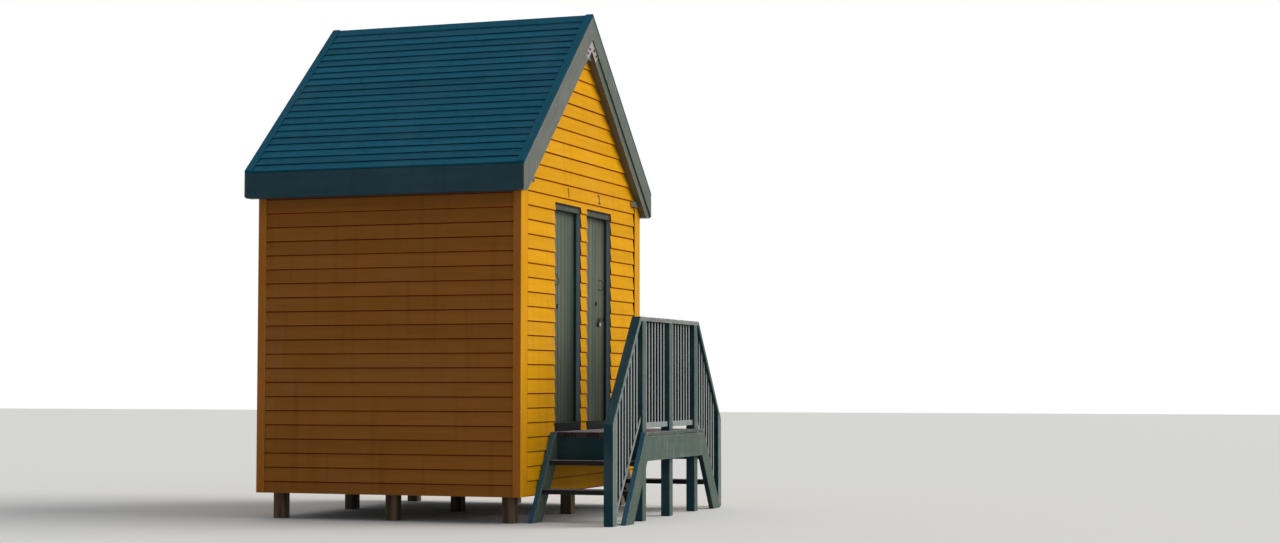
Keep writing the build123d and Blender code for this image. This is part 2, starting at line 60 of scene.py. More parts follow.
ACROSS = Vector((1.0, 0.0, 0.0))
DEEP = Vector((0.0, 1.0, 0.0))
UPRIGHT = Vector((0.0, 0.0, 1.0))

# How near two places have to be to count as one, and to be welded
HAIR = 0.0006
WELDED = HAIR / 10

SHARP_EDGE = math.radians(35)

# The front's weatherboards: how much of each shows, how far its foot stands out, and how high
# over the doorways the foot of the numerals' board lies
BOARD_EXPOSURE = 0.1203
BOARD_REACH = 0.0165
NUMERAL_BOARD = 0.069


class Side(Enum):
    """The two halves of the hut, as seen from the front."""

    LEFT = -1
    RIGHT = 1

    @property
    def word(self) -> str:
        """The side's name, as it stands in the names of nodes and pieces."""
        return self.name.lower()

    @property
    def door(self) -> str:
        """The body that swings on this side."""
        return f"{self.word}_door"


def rgb(red: int, green: int, blue: int) -> Colour:
    """Turns a colour as it shows on a screen into the values that a shader takes.

    Args:
        red: The red share, from 0 to 255.
        green: The green share, from 0 to 255.
        blue: The blue share, from 0 to 255.

    Returns:
        The linear colour, with an alpha of one.
    """
    shares = [value / 255 for value in (red, green, blue)]
    linear = [share / 12.92 if share <= 0.04045 else ((share + 0.055) / 1.055) ** 2.4 for share in shares]
    return (linear[0], linear[1], linear[2], 1.0)


@dataclass(frozen=True)
class Places:
    """Where the frame puts the walls, the roof and the doorways, in metres."""

    front: float
    rear: float
    wall_x: float
    skirt: float
    sill: float
    head: float
    door_inner: float
    door_outer: float
    soffit: float
    corner_top: float
    eave_x: float
    apex: float
    slope: float

    @classmethod
    def from_frame(cls) -> Places:
        """Reads the places from the nodes of the frame.

        Returns:
            The places of this hut.
        """
        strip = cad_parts["right_verge_strips"].data.vertices
        eave_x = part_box("right_verge_strips")[1].x
        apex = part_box("right_verge_strips")[1].z
        eave_top = max(vertex.co.z for vertex in strip if eave_x - vertex.co.x < HAIR)
        return cls(
            front=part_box("front_gable")[0].y,
            rear=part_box("back_wall")[1].y,
            wall_x=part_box("right_wall")[1].x,
            skirt=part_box("back_wall")[0].z,
            sill=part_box("front_wall_middle")[0].z,
            head=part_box("front_gable")[0].z,
            door_inner=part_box("front_wall_middle")[1].x,
            door_outer=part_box("front_skirt")[1].x,
            soffit=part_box("soffits")[0].z,
            corner_top=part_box("front_corner_boards")[1].z,
            eave_x=eave_x,
            apex=apex,
            slope=(apex - eave_top) / eave_x,
        )

    @property
    def pitch(self) -> float:
        """The slope of the roof as an angle."""
        return math.atan(self.slope)

    @property
    def middle_y(self) -> float:
        """The middle of the body from front to back."""
        return (self.front + self.rear) / 2

    def roof_z(self, x: float, depth: float = 0.0) -> float:
        """Finds the roof's height over a place.

        Args:
            x: Distance from the middle.
            depth: How far below the roof's top line, square to the slope.

        Returns:
            The height.
        """
        return self.apex - abs(x) * self.slope - depth / math.cos(self.pitch)

    def down_slope(self, side: Side) -> Vector:
        """The direction in which a slope of the roof falls."""
        return Vector((side.value * math.cos(self.pitch), 0.0, -math.sin(self.pitch)))


# Modelling by hand: one active object, with its faces and edges picked by place


def select_only(*pieces: Piece) -> None:
    """Selects these pieces and makes the first one active.

    Args:
        pieces: What to select; with none, everything is deselected.
    """
    if bpy.context.mode != "OBJECT":
        bpy.ops.object.mode_set(mode="OBJECT")
    bpy.ops.object.select_all(action="DESELECT")
    for piece in pieces:
        piece.select_set(True)
    if pieces:
        bpy.context.view_layer.objects.active = pieces[0]


def settle(piece: Piece) -> Piece:
    """Puts a piece's place, turn and size into its mesh.

    Args:
        piece: The piece, which may be moved, turned or scaled.

    Returns:
        The same piece, at the origin.
    """
    select_only(piece)
    bpy.ops.object.transform_apply(location=True, rotation=True, scale=True)
    return piece


def new_block(name: str, low: Sequence[float], high: Sequence[float]) -> Piece:
    """Adds a block between two corners, as the start of a piece.

    Args:
        name: The piece's name.
        low: Its lowest corner.
        high: Its highest corner.

    Returns:
        The block, settled at the origin.
    """
    select_only()
    size = Vector(high) - Vector(low)
    bpy.ops.mesh.primitive_cube_add(size=1.0, location=Vector(low) + size / 2)
    block = bpy.context.object
    block.name = name
    block.scale = size
    return settle(block)


def new_disc(name: str, centre: Vector, radius: float, depth: float, sides: int = 16) -> Piece:
    """Adds a short round bar whose axis runs from front to back.

    Args:
        name: The piece's name.
        centre: Its centre.
        radius: Its radius.
        depth: Its length along Y.
        sides: How many sides it has.

    Returns:
        The bar, settled at the origin.
    """
    select_only()
    bpy.ops.mesh.primitive_cylinder_add(
        vertices=sides, radius=radius, depth=depth, location=centre, rotation=(math.pi / 2, 0, 0)
    )
    bpy.context.object.name = name
    return settle(bpy.context.object)


@contextmanager
def editing(
    piece: Piece, pick: Optional[Callable[[Vector], bool]] = None, kind: str = "VERT"
) -> Iterator[None]:
    """Opens a piece in edit mode with a part of it selected, and closes it after.

    Args:
        piece: The piece to edit.
        pick: A test on a vertex's place; an edge or a face is selected when all its corners
            pass. With no test everything is selected.
        kind: VERT, EDGE or FACE.

    Yields:
        Nothing: the operators act on the open mesh.
    """
    select_only(piece)
    mesh = piece.data
    chosen = [pick is None or pick(vertex.co) for vertex in mesh.vertices]
    mesh.vertices.foreach_set("select", chosen)
    for edge in mesh.edges:
        edge.select = all(chosen[index] for index in edge.vertices)
    for face in mesh.polygons:
        face.select = all(chosen[index] for index in face.vertices)
    bpy.context.tool_settings.mesh_select_mode = (kind == "VERT", kind == "EDGE", kind == "FACE")
    bpy.ops.object.mode_set(mode="EDIT")
    yield
    bpy.ops.object.mode_set(mode="OBJECT")


def slide(piece: Piece, pick: Callable[[Vector], bool], move: Sequence[float]) -> None:
    """Moves a part of a piece.

    Args:
        piece: The piece.
        pick: A test on a vertex's place.
        move: How far it moves.
    """
    with editing(piece, pick):
        bpy.ops.transform.translate(value=move)


def ease_edges(piece: Piece, pick: Callable[[Vector], bool], width: float, segments: int = 2) -> None:
    """Rounds or chamfers the edges whose two ends pass a test.

    Args:
        piece: The piece.
        pick: A test on a vertex's place.
        width: How far the bevel reaches.
        segments: One for a chamfer, more for a round.
    """
    with editing(piece, pick, "EDGE"):
        bpy.ops.mesh.bevel(offset=width, segments=segments, affect="EDGES")


def trim(piece: Piece, point: Sequence[float], outward: Sequence[float]) -> None:
    """Saws off what lies beyond a plane and closes the cut.

    Args:
        piece: The piece.
        point: A place on the plane.
        outward: The side that falls away.
    """
    with editing(piece):
        bpy.ops.mesh.bisect(plane_co=point, plane_no=outward, use_fill=True, clear_outer=True)


def spare(piece: Piece, move: Sequence[float] = (0, 0, 0), stretch: Sequence[float] = (1, 1, 1)) -> Piece:
    """Copies a piece, with a mesh of its own.

    Args:
        piece: What is copied.
        move: Where the copy goes from there.
        stretch: How it is scaled about the origin, before it moves.

    Returns:
        The copy, which isn't settled yet.
    """
    twin = piece.copy()
    twin.data = piece.data.copy()
    twin.location = move
    twin.scale = stretch
    bpy.context.collection.objects.link(twin)
    return twin


def scrap(piece: Piece) -> None:
    """Throws a pattern away once its copies are made."""
    bpy.data.objects.remove(piece)


def fasten(name: str, pieces: Sequence[Piece]) -> Piece:
    """Joins pieces to one and settles it.

    Args:
        name: The name of the whole.
        pieces: What is joined.

    Returns:
        The whole.
    """
    select_only(*pieces)
    if len(pieces) > 1:
        bpy.ops.object.join()
    whole = bpy.context.object
    whole.name = name
    whole.data.name = name
    return settle(whole)


def apply_modifier(piece: Piece, kind: str, **settings: object) -> None:
    """Adds a modifier and applies it.

    Args:
        piece: The piece.
        kind: The modifier's type.
        settings: Its settings.
    """
    modifier = piece.modifiers.new(kind.title(), kind)
    for name, value in settings.items():
        setattr(modifier, name, value)
    select_only(piece)
    bpy.ops.object.modifier_apply(modifier=modifier.name)


def round_off(piece: Piece, width: float, segments: int = 2) -> Piece:
    """Eases every sharp edge of a piece.

    Args:
        piece: The piece.
        width: How far the round reaches.
        segments: How many steps it has.

    Returns:
        The same piece.
    """
    apply_modifier(
        piece, "BEVEL", width=width, segments=segments, limit_method="ANGLE", angle_limit=SHARP_EDGE
    )
    return piece


def smooth(piece: Piece, degrees: float = 40.0) -> Piece:
    """Shades a piece smoothly, apart from its sharp edges.

    Args:
        piece: The piece.
        degrees: The angle from which an edge stays sharp.

    Returns:
        The same piece.
    """
    select_only(piece)
    bpy.ops.object.shade_smooth_by_angle(angle=math.radians(degrees))
    return piece


def bent_rod(name: str, points: Sequence[Sequence[float]], radius: float) -> Piece:
    """Bends a round rod through a few points.

    Args:
        name: The piece's name.
        points: The places that its middle line passes.
        radius: Its radius.

    Returns:
        The rod as a closed mesh.
    """
    select_only()
    bpy.ops.curve.primitive_bezier_curve_add(location=(0, 0, 0))
    rod = bpy.context.object
    knots = rod.data.splines[0].bezier_points
    knots.add(len(points) - len(knots))
    for knot, point in zip(knots, points):
        knot.handle_left_type = "AUTO"
        knot.handle_right_type = "AUTO"
        knot.co = point
    rod.data.resolution_u = 10
    rod.data.bevel_depth = radius
    rod.data.bevel_resolution = 4
    rod.data.use_fill_caps = True
    bpy.ops.object.convert(target="MESH")
    rod = bpy.context.object
    rod.name = name
    with editing(rod):
        bpy.ops.mesh.remove_doubles(threshold=WELDED)
        bpy.ops.mesh.normals_make_consistent(inside=False)
    return smooth(settle(rod))


# Finishes: each one makes node materials, for a direction of the grain


class Wiring:
    """The nodes of a material or of the sky, put together step by step."""

    def __init__(self, tree: bpy.types.NodeTree) -> None:
        """Starts work on a node tree."""
        self.tree = tree

    def node(self, kind: str, **settings: object) -> bpy.types.Node:
        """Adds a node.

        Args:
            kind: The node's type.
            settings: Its own settings.

        Returns:
            The node.
        """
        made = self.tree.nodes.new(kind)
        for name, value in settings.items():
            setattr(made, name, value)
        return made

    def wire(self, socket: Socket, value: object) -> None:
        """Links a value to a socket, or sets it there when it is plain.

        Args:
            socket: The socket.
            value: A socket, a number, a colour or a vector.
        """
        if isinstance(value, bpy.types.NodeSocket):
            self.tree.links.new(value, socket)
        else:
            socket.default_value = value

    def fill(self, made: bpy.types.Node, *values: object) -> bpy.types.Node:
        """Wires values to a node's first inputs, in their order.

        Args:
            made: The node.
            values: A value for each input.

        Returns:
            The same node.
        """
        for socket, value in zip(made.inputs, values):
            self.wire(socket, value)
        return made

    def reckon(self, operation: str, *values: Value) -> Socket:
        """Works out a number.

        Args:
            operation: The Math node's operation.
            values: The numbers that it takes.

        Returns:
            The result.
        """
        return self.fill(self.node("ShaderNodeMath", operation=operation), *values).outputs[0]

    def vector(self, operation: str, first: object, second: object, output: str = "Vector") -> Socket:
        """Works out a vector, or the number that a vector operation gives.

        Args:
            operation: The Vector Math node's operation.
            first: The first vector.
            second: The second vector.
            output: Vector or Value.

        Returns:
            The result.
        """
        made = self.node("ShaderNodeVectorMath", operation=operation)
        return self.fill(made, first, second).outputs[output]

    def fade(self, value: Value, start: float, end: float, low: float = 0.0, high: float = 1.0) -> Socket:
        """Turns a range of a number softly into another range.

        Args:
            value: The number.
            start: Where the range starts.
            end: Where it ends, above or below the start.
            low: What the start becomes.
            high: What the end becomes.

        Returns:
            The new number.
        """
        made = self.node("ShaderNodeMapRange", interpolation_type="SMOOTHSTEP")
        return self.fill(made, value, start, end, low, high).outputs[0]

    def mix(self, share: Value, first: object, second: object, mode: str = "MIX") -> Socket:
        """Mixes two colours.

        Args:
            share: How much of the second one shows.
            first: The first colour.
            second: The second colour.
            mode: The Mix node's way of blending.

        Returns:
            The mixed colour.
        """
        made = self.node("ShaderNodeMix", data_type="RGBA", blend_type=mode)
        self.wire(made.inputs[0], share)
        self.wire(made.inputs[6], first)
        self.wire(made.inputs[7], second)
        return made.outputs[2]

    def seen_directly(self) -> Socket:
        """Gives one for a ray from the camera, a mirror or glass, and zero for one that only lights."""
        rays = self.node("ShaderNodeLightPath").outputs
        mirrored = self.reckon("MAXIMUM", rays["Is Camera Ray"], rays["Is Glossy Ray"])
        return self.reckon("MAXIMUM", mirrored, rays["Is Transmission Ray"])


class Brew(Wiring):
    """A material that is built up from a piece's own coordinates."""

    def __init__(self, name: str) -> None:
        """Starts a material of this name."""
        self.material = bpy.data.materials.new(name)
        self.material.use_nodes = True
        super().__init__(self.material.node_tree)
        self.shader = self.tree.nodes["Principled BSDF"]
        coordinates = self.node("ShaderNodeTexCoord")
        self.place = coordinates.outputs["Object"]
        self.facing = coordinates.outputs["Normal"]

    def coat(self, name: str, value: object) -> None:
        """Wires a value to one of the shader's inputs."""
        self.wire(self.shader.inputs[name], value)

    def towards(self, way: Sequence[float], of: Optional[Socket] = None) -> Socket:
        """Measures a place, or another vector, along a direction."""
        return self.vector("DOT_PRODUCT", of or self.place, tuple(way), "Value")

    def cloud(self, stretch: Sequence[float], along: Optional[Socket] = None, detail: float = 3.0) -> Socket:
        """Makes soft noise.

        Args:
            stretch: How often it changes in a metre, each way.
            along: The coordinates, if not the piece's own.
            detail: How fine it gets.

        Returns:
            The noise, near 0 to 1.
        """
        made = self.node("ShaderNodeTexNoise")
        self.wire(made.inputs["Vector"], self.vector("MULTIPLY", along or self.place, tuple(stretch)))
        made.inputs["Scale"].default_value = 1.0
        made.inputs["Detail"].default_value = detail
        return made.outputs[0]

    def along(self, grain: Vector) -> Socket:
        """Turns the piece's coordinates so that X runs along its grain.

        Args:
            grain: The direction of the grain.

        Returns:
            The turned coordinates.
        """
        made = self.node("ShaderNodeMapping")
        self.wire(made.inputs["Vector"], self.place)
        made.inputs["Rotation"].default_value = grain.rotation_difference(ACROSS).to_euler()
        return made.outputs[0]

    def arrises(self, reach: float) -> Socket:
        """Finds the edges of a piece.

        Args:
            reach: How far from an edge it is noticed.

        Returns:
            One on an edge, falling to zero beside it.
        """
        rounded = self.node("ShaderNodeBevel", samples=4)
        rounded.inputs["Radius"].default_value = reach
        flat = self.node("ShaderNodeNewGeometry").outputs["Normal"]
        return self.fade(self.vector("DOT_PRODUCT", rounded.outputs[0], flat, "Value"), *EDGE_TURN)

    def bump(self, height: Socket, depth: float) -> None:
        """Gives the surface a relief.

        Args:
            height: The relief, near 0 to 1.
            depth: How deep it is, in metres.
        """
        made = self.node("ShaderNodeBump")
        made.inputs["Strength"].default_value = 1.0
        made.inputs["Distance"].default_value = depth
        self.wire(made.inputs["Height"], height)
        self.coat("Normal", made.outputs[0])


# Noise: how often it changes in a metre, each way, with X along the grain where it follows one
PAINTED_FIBRES = (3, 85, 85)
BRUSH_MARKS = (1.6, 22, 22)
PATCHES = (2.3, 2.3, 2.3)
GRIME = (11, 11, 0.9)
SCARS = (7, 60, 60)
DRIPS = (45, 45, 4)
YEAR_RINGS = (1.1, 16, 16)
OPEN_FIBRES = (5, 150, 150)
STAINS = (3.0, 3.0, 3.0)
TARNISH = (60, 60, 60)
RUST_SPOTS = (140, 140, 140)

# The range of a noise or a direction in which its mark appears
EDGE_TURN = (0.99, 0.88)
OTHER_BOARDS = (0.25, 0.75)
FADED = (0.45, 0.75)
BRUSHED = (0.35, 0.7)
GRIMY = (0.5, 0.8)
BARED = (0.42, 0.6)
SCARRED = (0.70, 0.76)
DRIPPED = (0.60, 0.74)
RINGED = (0.32, 0.66)
FIBRED = (0.35, 0.7)
STAINED = (0.5, 0.75)
RUBBED = (0.35, 0.6)
LEVEL_FACES = (0.2, 0.7)
CLOUDED = (0.3, 0.7)
RUSTED = (0.56, 0.68)

# What age lays over a colour, and the black of the slow shading
CHALK = (0.75, 0.74, 0.70, 1)
CHALKING = 0.35
BRUSH_SHADE = (0.55, 0.5, 0.45, 1)
GRIME_SHADE = (0.3, 0.27, 0.23, 1)
STAIN_SHADE = (0.45, 0.4, 0.34, 1)
DARK_GAP = (0.012, 0.01, 0.008, 1)
# The black toward which the slow shading darkens
BLACK = (0, 0, 0, 1)

# Pale specks, which lie on their node's default coordinates and so follow each piece's box
SPECK_WHITE = rgb(226, 226, 220)
SPECK_SCALE = 5.0
SPECK_RIM = (0.05, 0.03)
SPECK_STEP = 0.02


@dataclass(frozen=True)
class Courses:
    """Boards that follow each other, such as the rows of a wall or the planks of a floor."""

    across: Vector
    width: float
    start: float = 0.0
    gap: float = 0.0
    # The band of painted shade, with dirt, at the top of each board, and how much of it is fully dark
    lap: float = 0.0
    lap_core: float = 0.6

    def index(self, brew: Brew) -> tuple[Socket, Socket, Value]:
        """Finds which board a point lies on, and where on it.

        Args:
            brew: The material.

        Returns:
            A random number for each board, one in the gap beside it, and one in the painted
            shade and dirt at its upper end, under the next board's edge.
        """
        along = brew.reckon("SUBTRACT", brew.towards(self.across), self.start)
        count = brew.reckon("DIVIDE", along, self.width)
        whole = brew.reckon("FLOOR", count)
        chance = brew.node("ShaderNodeTexWhiteNoise", noise_dimensions="1D")
        brew.wire(chance.inputs["W"], whole)
        part = brew.reckon("SUBTRACT", count, whole)
        gap = brew.reckon("LESS_THAN", part, self.gap / self.width)
        share = self.lap / self.width
        lap = brew.fade(part, 1 - share, 1 - share * self.lap_core) if self.lap else 0.0
        return chance.outputs["Value"], gap, lap


@dataclass(frozen=True)
class Shading:
    """A slow change to a darker tone, along one direction: painted shade in the doorways' reveals,
    and a darkening of the doors toward their foot.
    """

    way: Vector
    start: float
    end: float
    share: float


@dataclass(frozen=True)
class Paint:
    """Oil paint on timber that stands by the sea: faded, streaked and worn at its edges. Faces turned
    from its lit side take a second colour of painted shade, paler painted light on a few paints,
    and the top of each course takes painted shade.
    """

    name: str
    colour: Colour
    # Painted shade: the colour of faces turned from the lit side, set by the next two fields; on the frames,
    # the plate ends and the left stringer it is paler, a painted light
    shaded_side_colour: Optional[Colour] = None
    weather: tuple[float, float, float] = (0.26, -0.96, 0.1)
    lit_weather_fade: tuple[float, float] = (0.2, 0.8)
    other: Optional[Colour] = None
    # The colour where the paint is worn away; on the wall paint it is also a painted highlight on the boards'
    # noses
    bare: Colour = rgb(176, 168, 150)
    roughness: float = 0.46
    tone: float = 0.10
    fading: float = 0.22
    wear: float = 0.5
    edge_reach: float = 0.006
    wear_grain: tuple[float, float, float] = (26.0, 26.0, 26.0)
    drips: float = 0.0
    dirt: float = 0.3
    brushing: float = 0.28
    shading: Optional[Shading] = None
    specks: float = 0.0
    gloss: float = 0.3
    relief: float = 0.0007
    relief_shares: tuple[float, float, float] = (0.8, 3.0, 0.7)
    roughness_spread: float = 0.25
    bare_roughness: float = 0.8
    # Painted shade, with dirt, at the top of each course under the next board's edge
    lap_shade: Colour = (0.32, 0.25, 0.14, 1.0)

    def board_tones(self, brew: Brew, colour: object, chance: Socket) -> Socket:
        """Gives each board its own tone.

        Args:
            brew: The material.
            colour: The paint's colour.
            chance: A random number for each board.

        Returns:
            The colour, a little lighter or darker on each board.
        """
        if self.other:
            colour = brew.mix(brew.fade(chance, *OTHER_BOARDS), colour, self.other)
        grey = brew.fade(chance, 0, 1, 1 - self.tone, 1 + self.tone)
        shade = brew.fill(brew.node("ShaderNodeCombineColor"), grey, grey, grey)
        return brew.mix(1.0, colour, shade.outputs[0], "MULTIPLY")

    def aged(self, brew: Brew, colour: object, brush: Socket, patches: Socket) -> Socket:
        """Lets the sun, the brush's marks and dirt change a colour.

        Args:
            brew: The material.
            colour: The colour.
            brush: The noise of the brush's marks.
            patches: The noise of the faded patches.

        Returns:
            The aged colour.
        """
        pale = brew.mix(CHALKING, colour, CHALK)
        colour = brew.mix(brew.fade(patches, *FADED, 0, self.fading), colour, pale)
        colour = brew.mix(brew.fade(brush, *BRUSHED, 0, self.brushing), colour, BRUSH_SHADE, "MULTIPLY")
        grime = brew.fade(brew.cloud(GRIME, detail=4), *GRIMY, 0, self.dirt)
        return brew.mix(grime, colour, GRIME_SHADE, "MULTIPLY")

    def worn(self, brew: Brew, along: Socket, lit_and_exposed: Value) -> Socket:
        """Finds where the paint is gone: on edges, in scars and where water runs. On the wall
        paint the edges also carry a painted highlight on the boards' noses.

        Args:
            brew: The material.
            along: The coordinates along the grain.
            lit_and_exposed: Where a face turns to the lit, weathered side, as for the painted shade.

        Returns:
            How much of the paint is gone, with the painted highlight on the wall paint's edges.
        """
        ragged = brew.fade(brew.cloud(self.wear_grain, detail=6), *BARED)
        bared = brew.reckon("MULTIPLY", brew.arrises(self.edge_reach), ragged)
        scars = brew.fade(brew.cloud(SCARS, along, 5), *SCARRED)
        worn = brew.reckon("MULTIPLY", brew.reckon("MAXIMUM", bared, scars), self.wear)
        if self.drips:
            runs = brew.fade(brew.cloud(DRIPS, detail=4), *DRIPPED, 0, self.drips)
            worn = brew.reckon("MAXIMUM", worn, runs)
        return brew.reckon("MULTIPLY", worn, lit_and_exposed)

    def marked(self, brew: Brew, colour: Socket) -> Socket:
        """Adds the slow shading and the pale specks.

        Args:
            brew: The material.
            colour: The colour.

        Returns:
            The colour with its marks.
        """
        if self.shading:
            reached = brew.towards(self.shading.way)
            share = brew.fade(reached, self.shading.start, self.shading.end, 0, self.shading.share)
            colour = brew.mix(share, colour, BLACK)
        if self.specks:
            dots = brew.node("ShaderNodeTexVoronoi")
            dots.inputs["Scale"].default_value = SPECK_SCALE
            drop = brew.fade(dots.outputs["Distance"], *SPECK_RIM)
            rare = brew.fade(dots.outputs["Color"], 1 - self.specks, 1 - self.specks + SPECK_STEP)
            colour = brew.mix(brew.reckon("MULTIPLY", drop, rare), colour, SPECK_WHITE)
        return colour

    def material(self, grain: Vector, courses: Optional[Courses] = None) -> bpy.types.Material:
        """Makes the paint for a direction of the grain.

        Args:
            grain: The way the boards run.
            courses: The boards, where they differ in tone.

        Returns:
            The material.
        """
        brew = Brew(self.name)
        along = brew.along(grain)
        fibre = brew.cloud(PAINTED_FIBRES, along, 4)
        brush = brew.cloud(BRUSH_MARKS, along)
        patches = brew.cloud(PATCHES, detail=4)

        colour: object = self.colour
        lit_and_exposed: Value = 1.0
        lap: Value = 0.0
        # Painted shade: faces turned from the lit side take the shaded colour, and the same share keeps the
        # wear to the lit, weathered faces.
        if self.shaded_side_colour:
            lit_and_exposed = brew.fade(brew.towards(self.weather, brew.facing), *self.lit_weather_fade)
            colour = brew.mix(lit_and_exposed, self.shaded_side_colour, self.colour)
        if courses:
            chance, _, lap = courses.index(brew)
            colour = self.board_tones(brew, colour, chance)
        # Worn places take the bare colour, which on the wall paint is also a painted highlight on the edges.
        worn = self.worn(brew, along, lit_and_exposed)
        colour = brew.mix(worn, self.aged(brew, colour, brush, patches), self.bare)
        # The top of each course is darkened as painted shade under the next board's edge.
        brew.coat("Base Color", brew.mix(lap, self.marked(brew, colour), self.lap_shade, "MULTIPLY"))

        least = self.roughness - self.roughness_spread / 2
        dull = brew.reckon("MULTIPLY_ADD", patches, self.roughness_spread, least)
        bare = brew.reckon("MULTIPLY", worn, self.bare_roughness)
        brew.coat("Roughness", brew.reckon("MAXIMUM", dull, bare))
        brew.coat("Specular IOR Level", self.gloss)
        brushing, swelling, sinking = self.relief_shares
        relief = brew.reckon("ADD", fibre, brew.reckon("MULTIPLY", brush, brushing))
        relief = brew.reckon("ADD", relief, brew.reckon("MULTIPLY", patches, swelling))
        brew.bump(brew.reckon("SUBTRACT", relief, brew.reckon("MULTIPLY", worn, sinking)), self.relief)
        return brew.material


@dataclass(frozen=True)
class BareTimber:
    """Timber without paint, greyed where the weather reaches it; its faces that aren't level can
    take a darker colour as painted shade.
    """

    name: str
    light: Colour
    dark: Colour
    roughness: float = 0.78
    roughness_spread: float = 0.12
    gloss: float = 0.25
    tone: float = 0.18
    fibres: float = 0.45
    stains: float = 0.4
    wear: float = 0.5
    edge_reach: float = 0.005
    gap_depth: float = 4.0
    relief: float = 0.0009
    # Painted shade for the faces that aren't level
    sides: Optional[Colour] = None

    def material(self, grain: Vector, courses: Optional[Courses] = None) -> bpy.types.Material:
        """Makes the timber for a direction of the grain.

        Args:
            grain: The way the boards run.
            courses: The planks, where one solid stands for several.

        Returns:
            The material.
        """
        brew = Brew(self.name)
        along = brew.along(grain)
        rings = brew.cloud(YEAR_RINGS, along, 5)
        fibre = brew.cloud(OPEN_FIBRES, along, 4)
        stains = brew.cloud(STAINS, detail=4)
        colour = brew.mix(brew.fade(rings, *RINGED), self.dark, self.light)
        colour = brew.mix(brew.fade(fibre, *FIBRED, 0, self.fibres), colour, self.dark)
        colour = brew.mix(brew.fade(stains, *STAINED, 0, self.stains), colour, STAIN_SHADE, "MULTIPLY")
        # Painted shade: faces that aren't level take the darker side colour.
        if self.sides:
            level = brew.fade(brew.towards(UPRIGHT, brew.facing), *LEVEL_FACES)
            colour = brew.mix(level, self.sides, colour)
        relief = brew.reckon("ADD", fibre, rings)
        if courses:
            chance, gap, _ = courses.index(brew)
            colour = brew.mix(brew.fade(chance, 0, 1, 0, self.tone * 2), colour, self.dark)
            colour = brew.mix(gap, colour, DARK_GAP)
            relief = brew.reckon("SUBTRACT", relief, brew.reckon("MULTIPLY", gap, self.gap_depth))
        worn = brew.reckon("MULTIPLY", brew.arrises(self.edge_reach), brew.fade(stains, *RUBBED))
        brew.coat("Base Color", brew.mix(brew.reckon("MULTIPLY", worn, self.wear), colour, self.light))
        brew.coat("Roughness", brew.fade(rings, 0, 1, self.roughness, self.roughness + self.roughness_spread))
        brew.coat("Specular IOR Level", self.gloss)
        brew.bump(relief, self.relief)
        return brew.material


@dataclass(frozen=True)
class Metal:
    """Metal in sea air, with a cloudy surface and spots of rust or tarnish."""

    name: str
    colour: Colour
    spots: Colour
    roughness: float
    metallic: float = 1.0
    spotting: float = 0.4
    gloss: float = 0.5
    clouding: float = 0.3
    roughness_spread: tuple[float, float] = (-0.08, 0.12)
    rust_roughness: float = 0.3
    relief: float = 0.0002

    def material(self) -> bpy.types.Material:
        """Makes the metal, which has no grain.

        Returns:
            The material.
        """
        brew = Brew(self.name)
        clouds = brew.cloud(TARNISH)
        spots = brew.cloud(RUST_SPOTS, detail=5)
        rust = brew.fade(spots, *RUSTED, 0, self.spotting)
        colour = brew.mix(brew.fade(clouds, *CLOUDED, 0, self.clouding), self.colour, self.spots)
        brew.coat("Base Color", brew.mix(rust, colour, self.spots))
        brew.coat("Metallic", brew.fade(rust, 0, 1, self.metallic, 0.0))
        brew.coat("Specular IOR Level", self.gloss)
        dull = brew.fade(clouds, 0, 1, *(self.roughness + spread for spread in self.roughness_spread))
        brew.coat("Roughness", brew.reckon("ADD", dull, brew.reckon("MULTIPLY", rust, self.rust_roughness)))
        brew.bump(brew.reckon("ADD", clouds, spots), self.relief)
        return brew.material


# Painted shade: faces that turn to the left take the shaded colour
LEFT_SIDE_IN_SHADE = {"weather": (1.0, 0.0, 0.0), "lit_weather_fade": (-0.8, -0.3)}
# The wall paint: its left faces are a deeper orange as painted shade, its pale arrises are a painted
# highlight on the boards' noses, laid on through the wear, and its lap shade is painted shade under each
# board.
WALL_PAINT = Paint(
    "wall_paint",
    rgb(228, 162, 12),
    shaded_side_colour=rgb(176, 112, 48),
    **LEFT_SIDE_IN_SHADE,
    bare=rgb(240, 200, 124),
    wear=0.4,
    edge_reach=0.004,
    dirt=0.2,
    brushing=0.18,
    tone=0.05,
    fading=0.06,
    roughness=0.6,
    gloss=0.03,
    lap_shade=(0.46, 0.13, 0.0, 1.0),
)
# A copy of the wall paint whose tones are shifted for the light on the upright corner boards, which stand
# square while the weatherboards lean: painted light and shade, not a paint of their own.
CORNER_LIGHT_MATCHED_PAINT = replace(
    WALL_PAINT, name="corner_light_matched_paint", colour=rgb(226, 157, 17), shaded_side_colour=rgb(203, 127, 52)
)
DOOR_PAINT = Paint(
    "door_paint",
    rgb(86, 98, 86),
    other=rgb(97, 101, 84),
    wear=0.2,
    dirt=0.3,
    fading=0.1,
    tone=0.07,
    gloss=0.12,
    shading=Shading(UPRIGHT, 2.1, 0.9, 0.42),
)
# The frames: their faces that turn to the left are painted pale blue as a painted sky reflection, and the
# reveals darken toward the leaves as painted shade.
FRAME_PAINT = Paint(
    "frame_paint",
    rgb(60, 66, 54),
    shaded_side_colour=rgb(158, 190, 212),
    **LEFT_SIDE_IN_SHADE,
    wear=0.3,
    fading=0.1,
    gloss=0.12,
    shading=Shading(DEEP, -0.781, -0.768, 0.88),
)
# Black paint for boards that stand for shade: before the sills, the shade under the doors; over the heads and
# in the corner channels, the shadow of the boards.
SILL_SHADE_PAINT = Paint("sill_shade_paint", rgb(16, 18, 20), wear=0.1, fading=0.04, gloss=0.04)
SHADOW_STRIP_PAINT = replace(SILL_SHADE_PAINT, name="flashing_paint", colour=rgb(24, 12, 8))
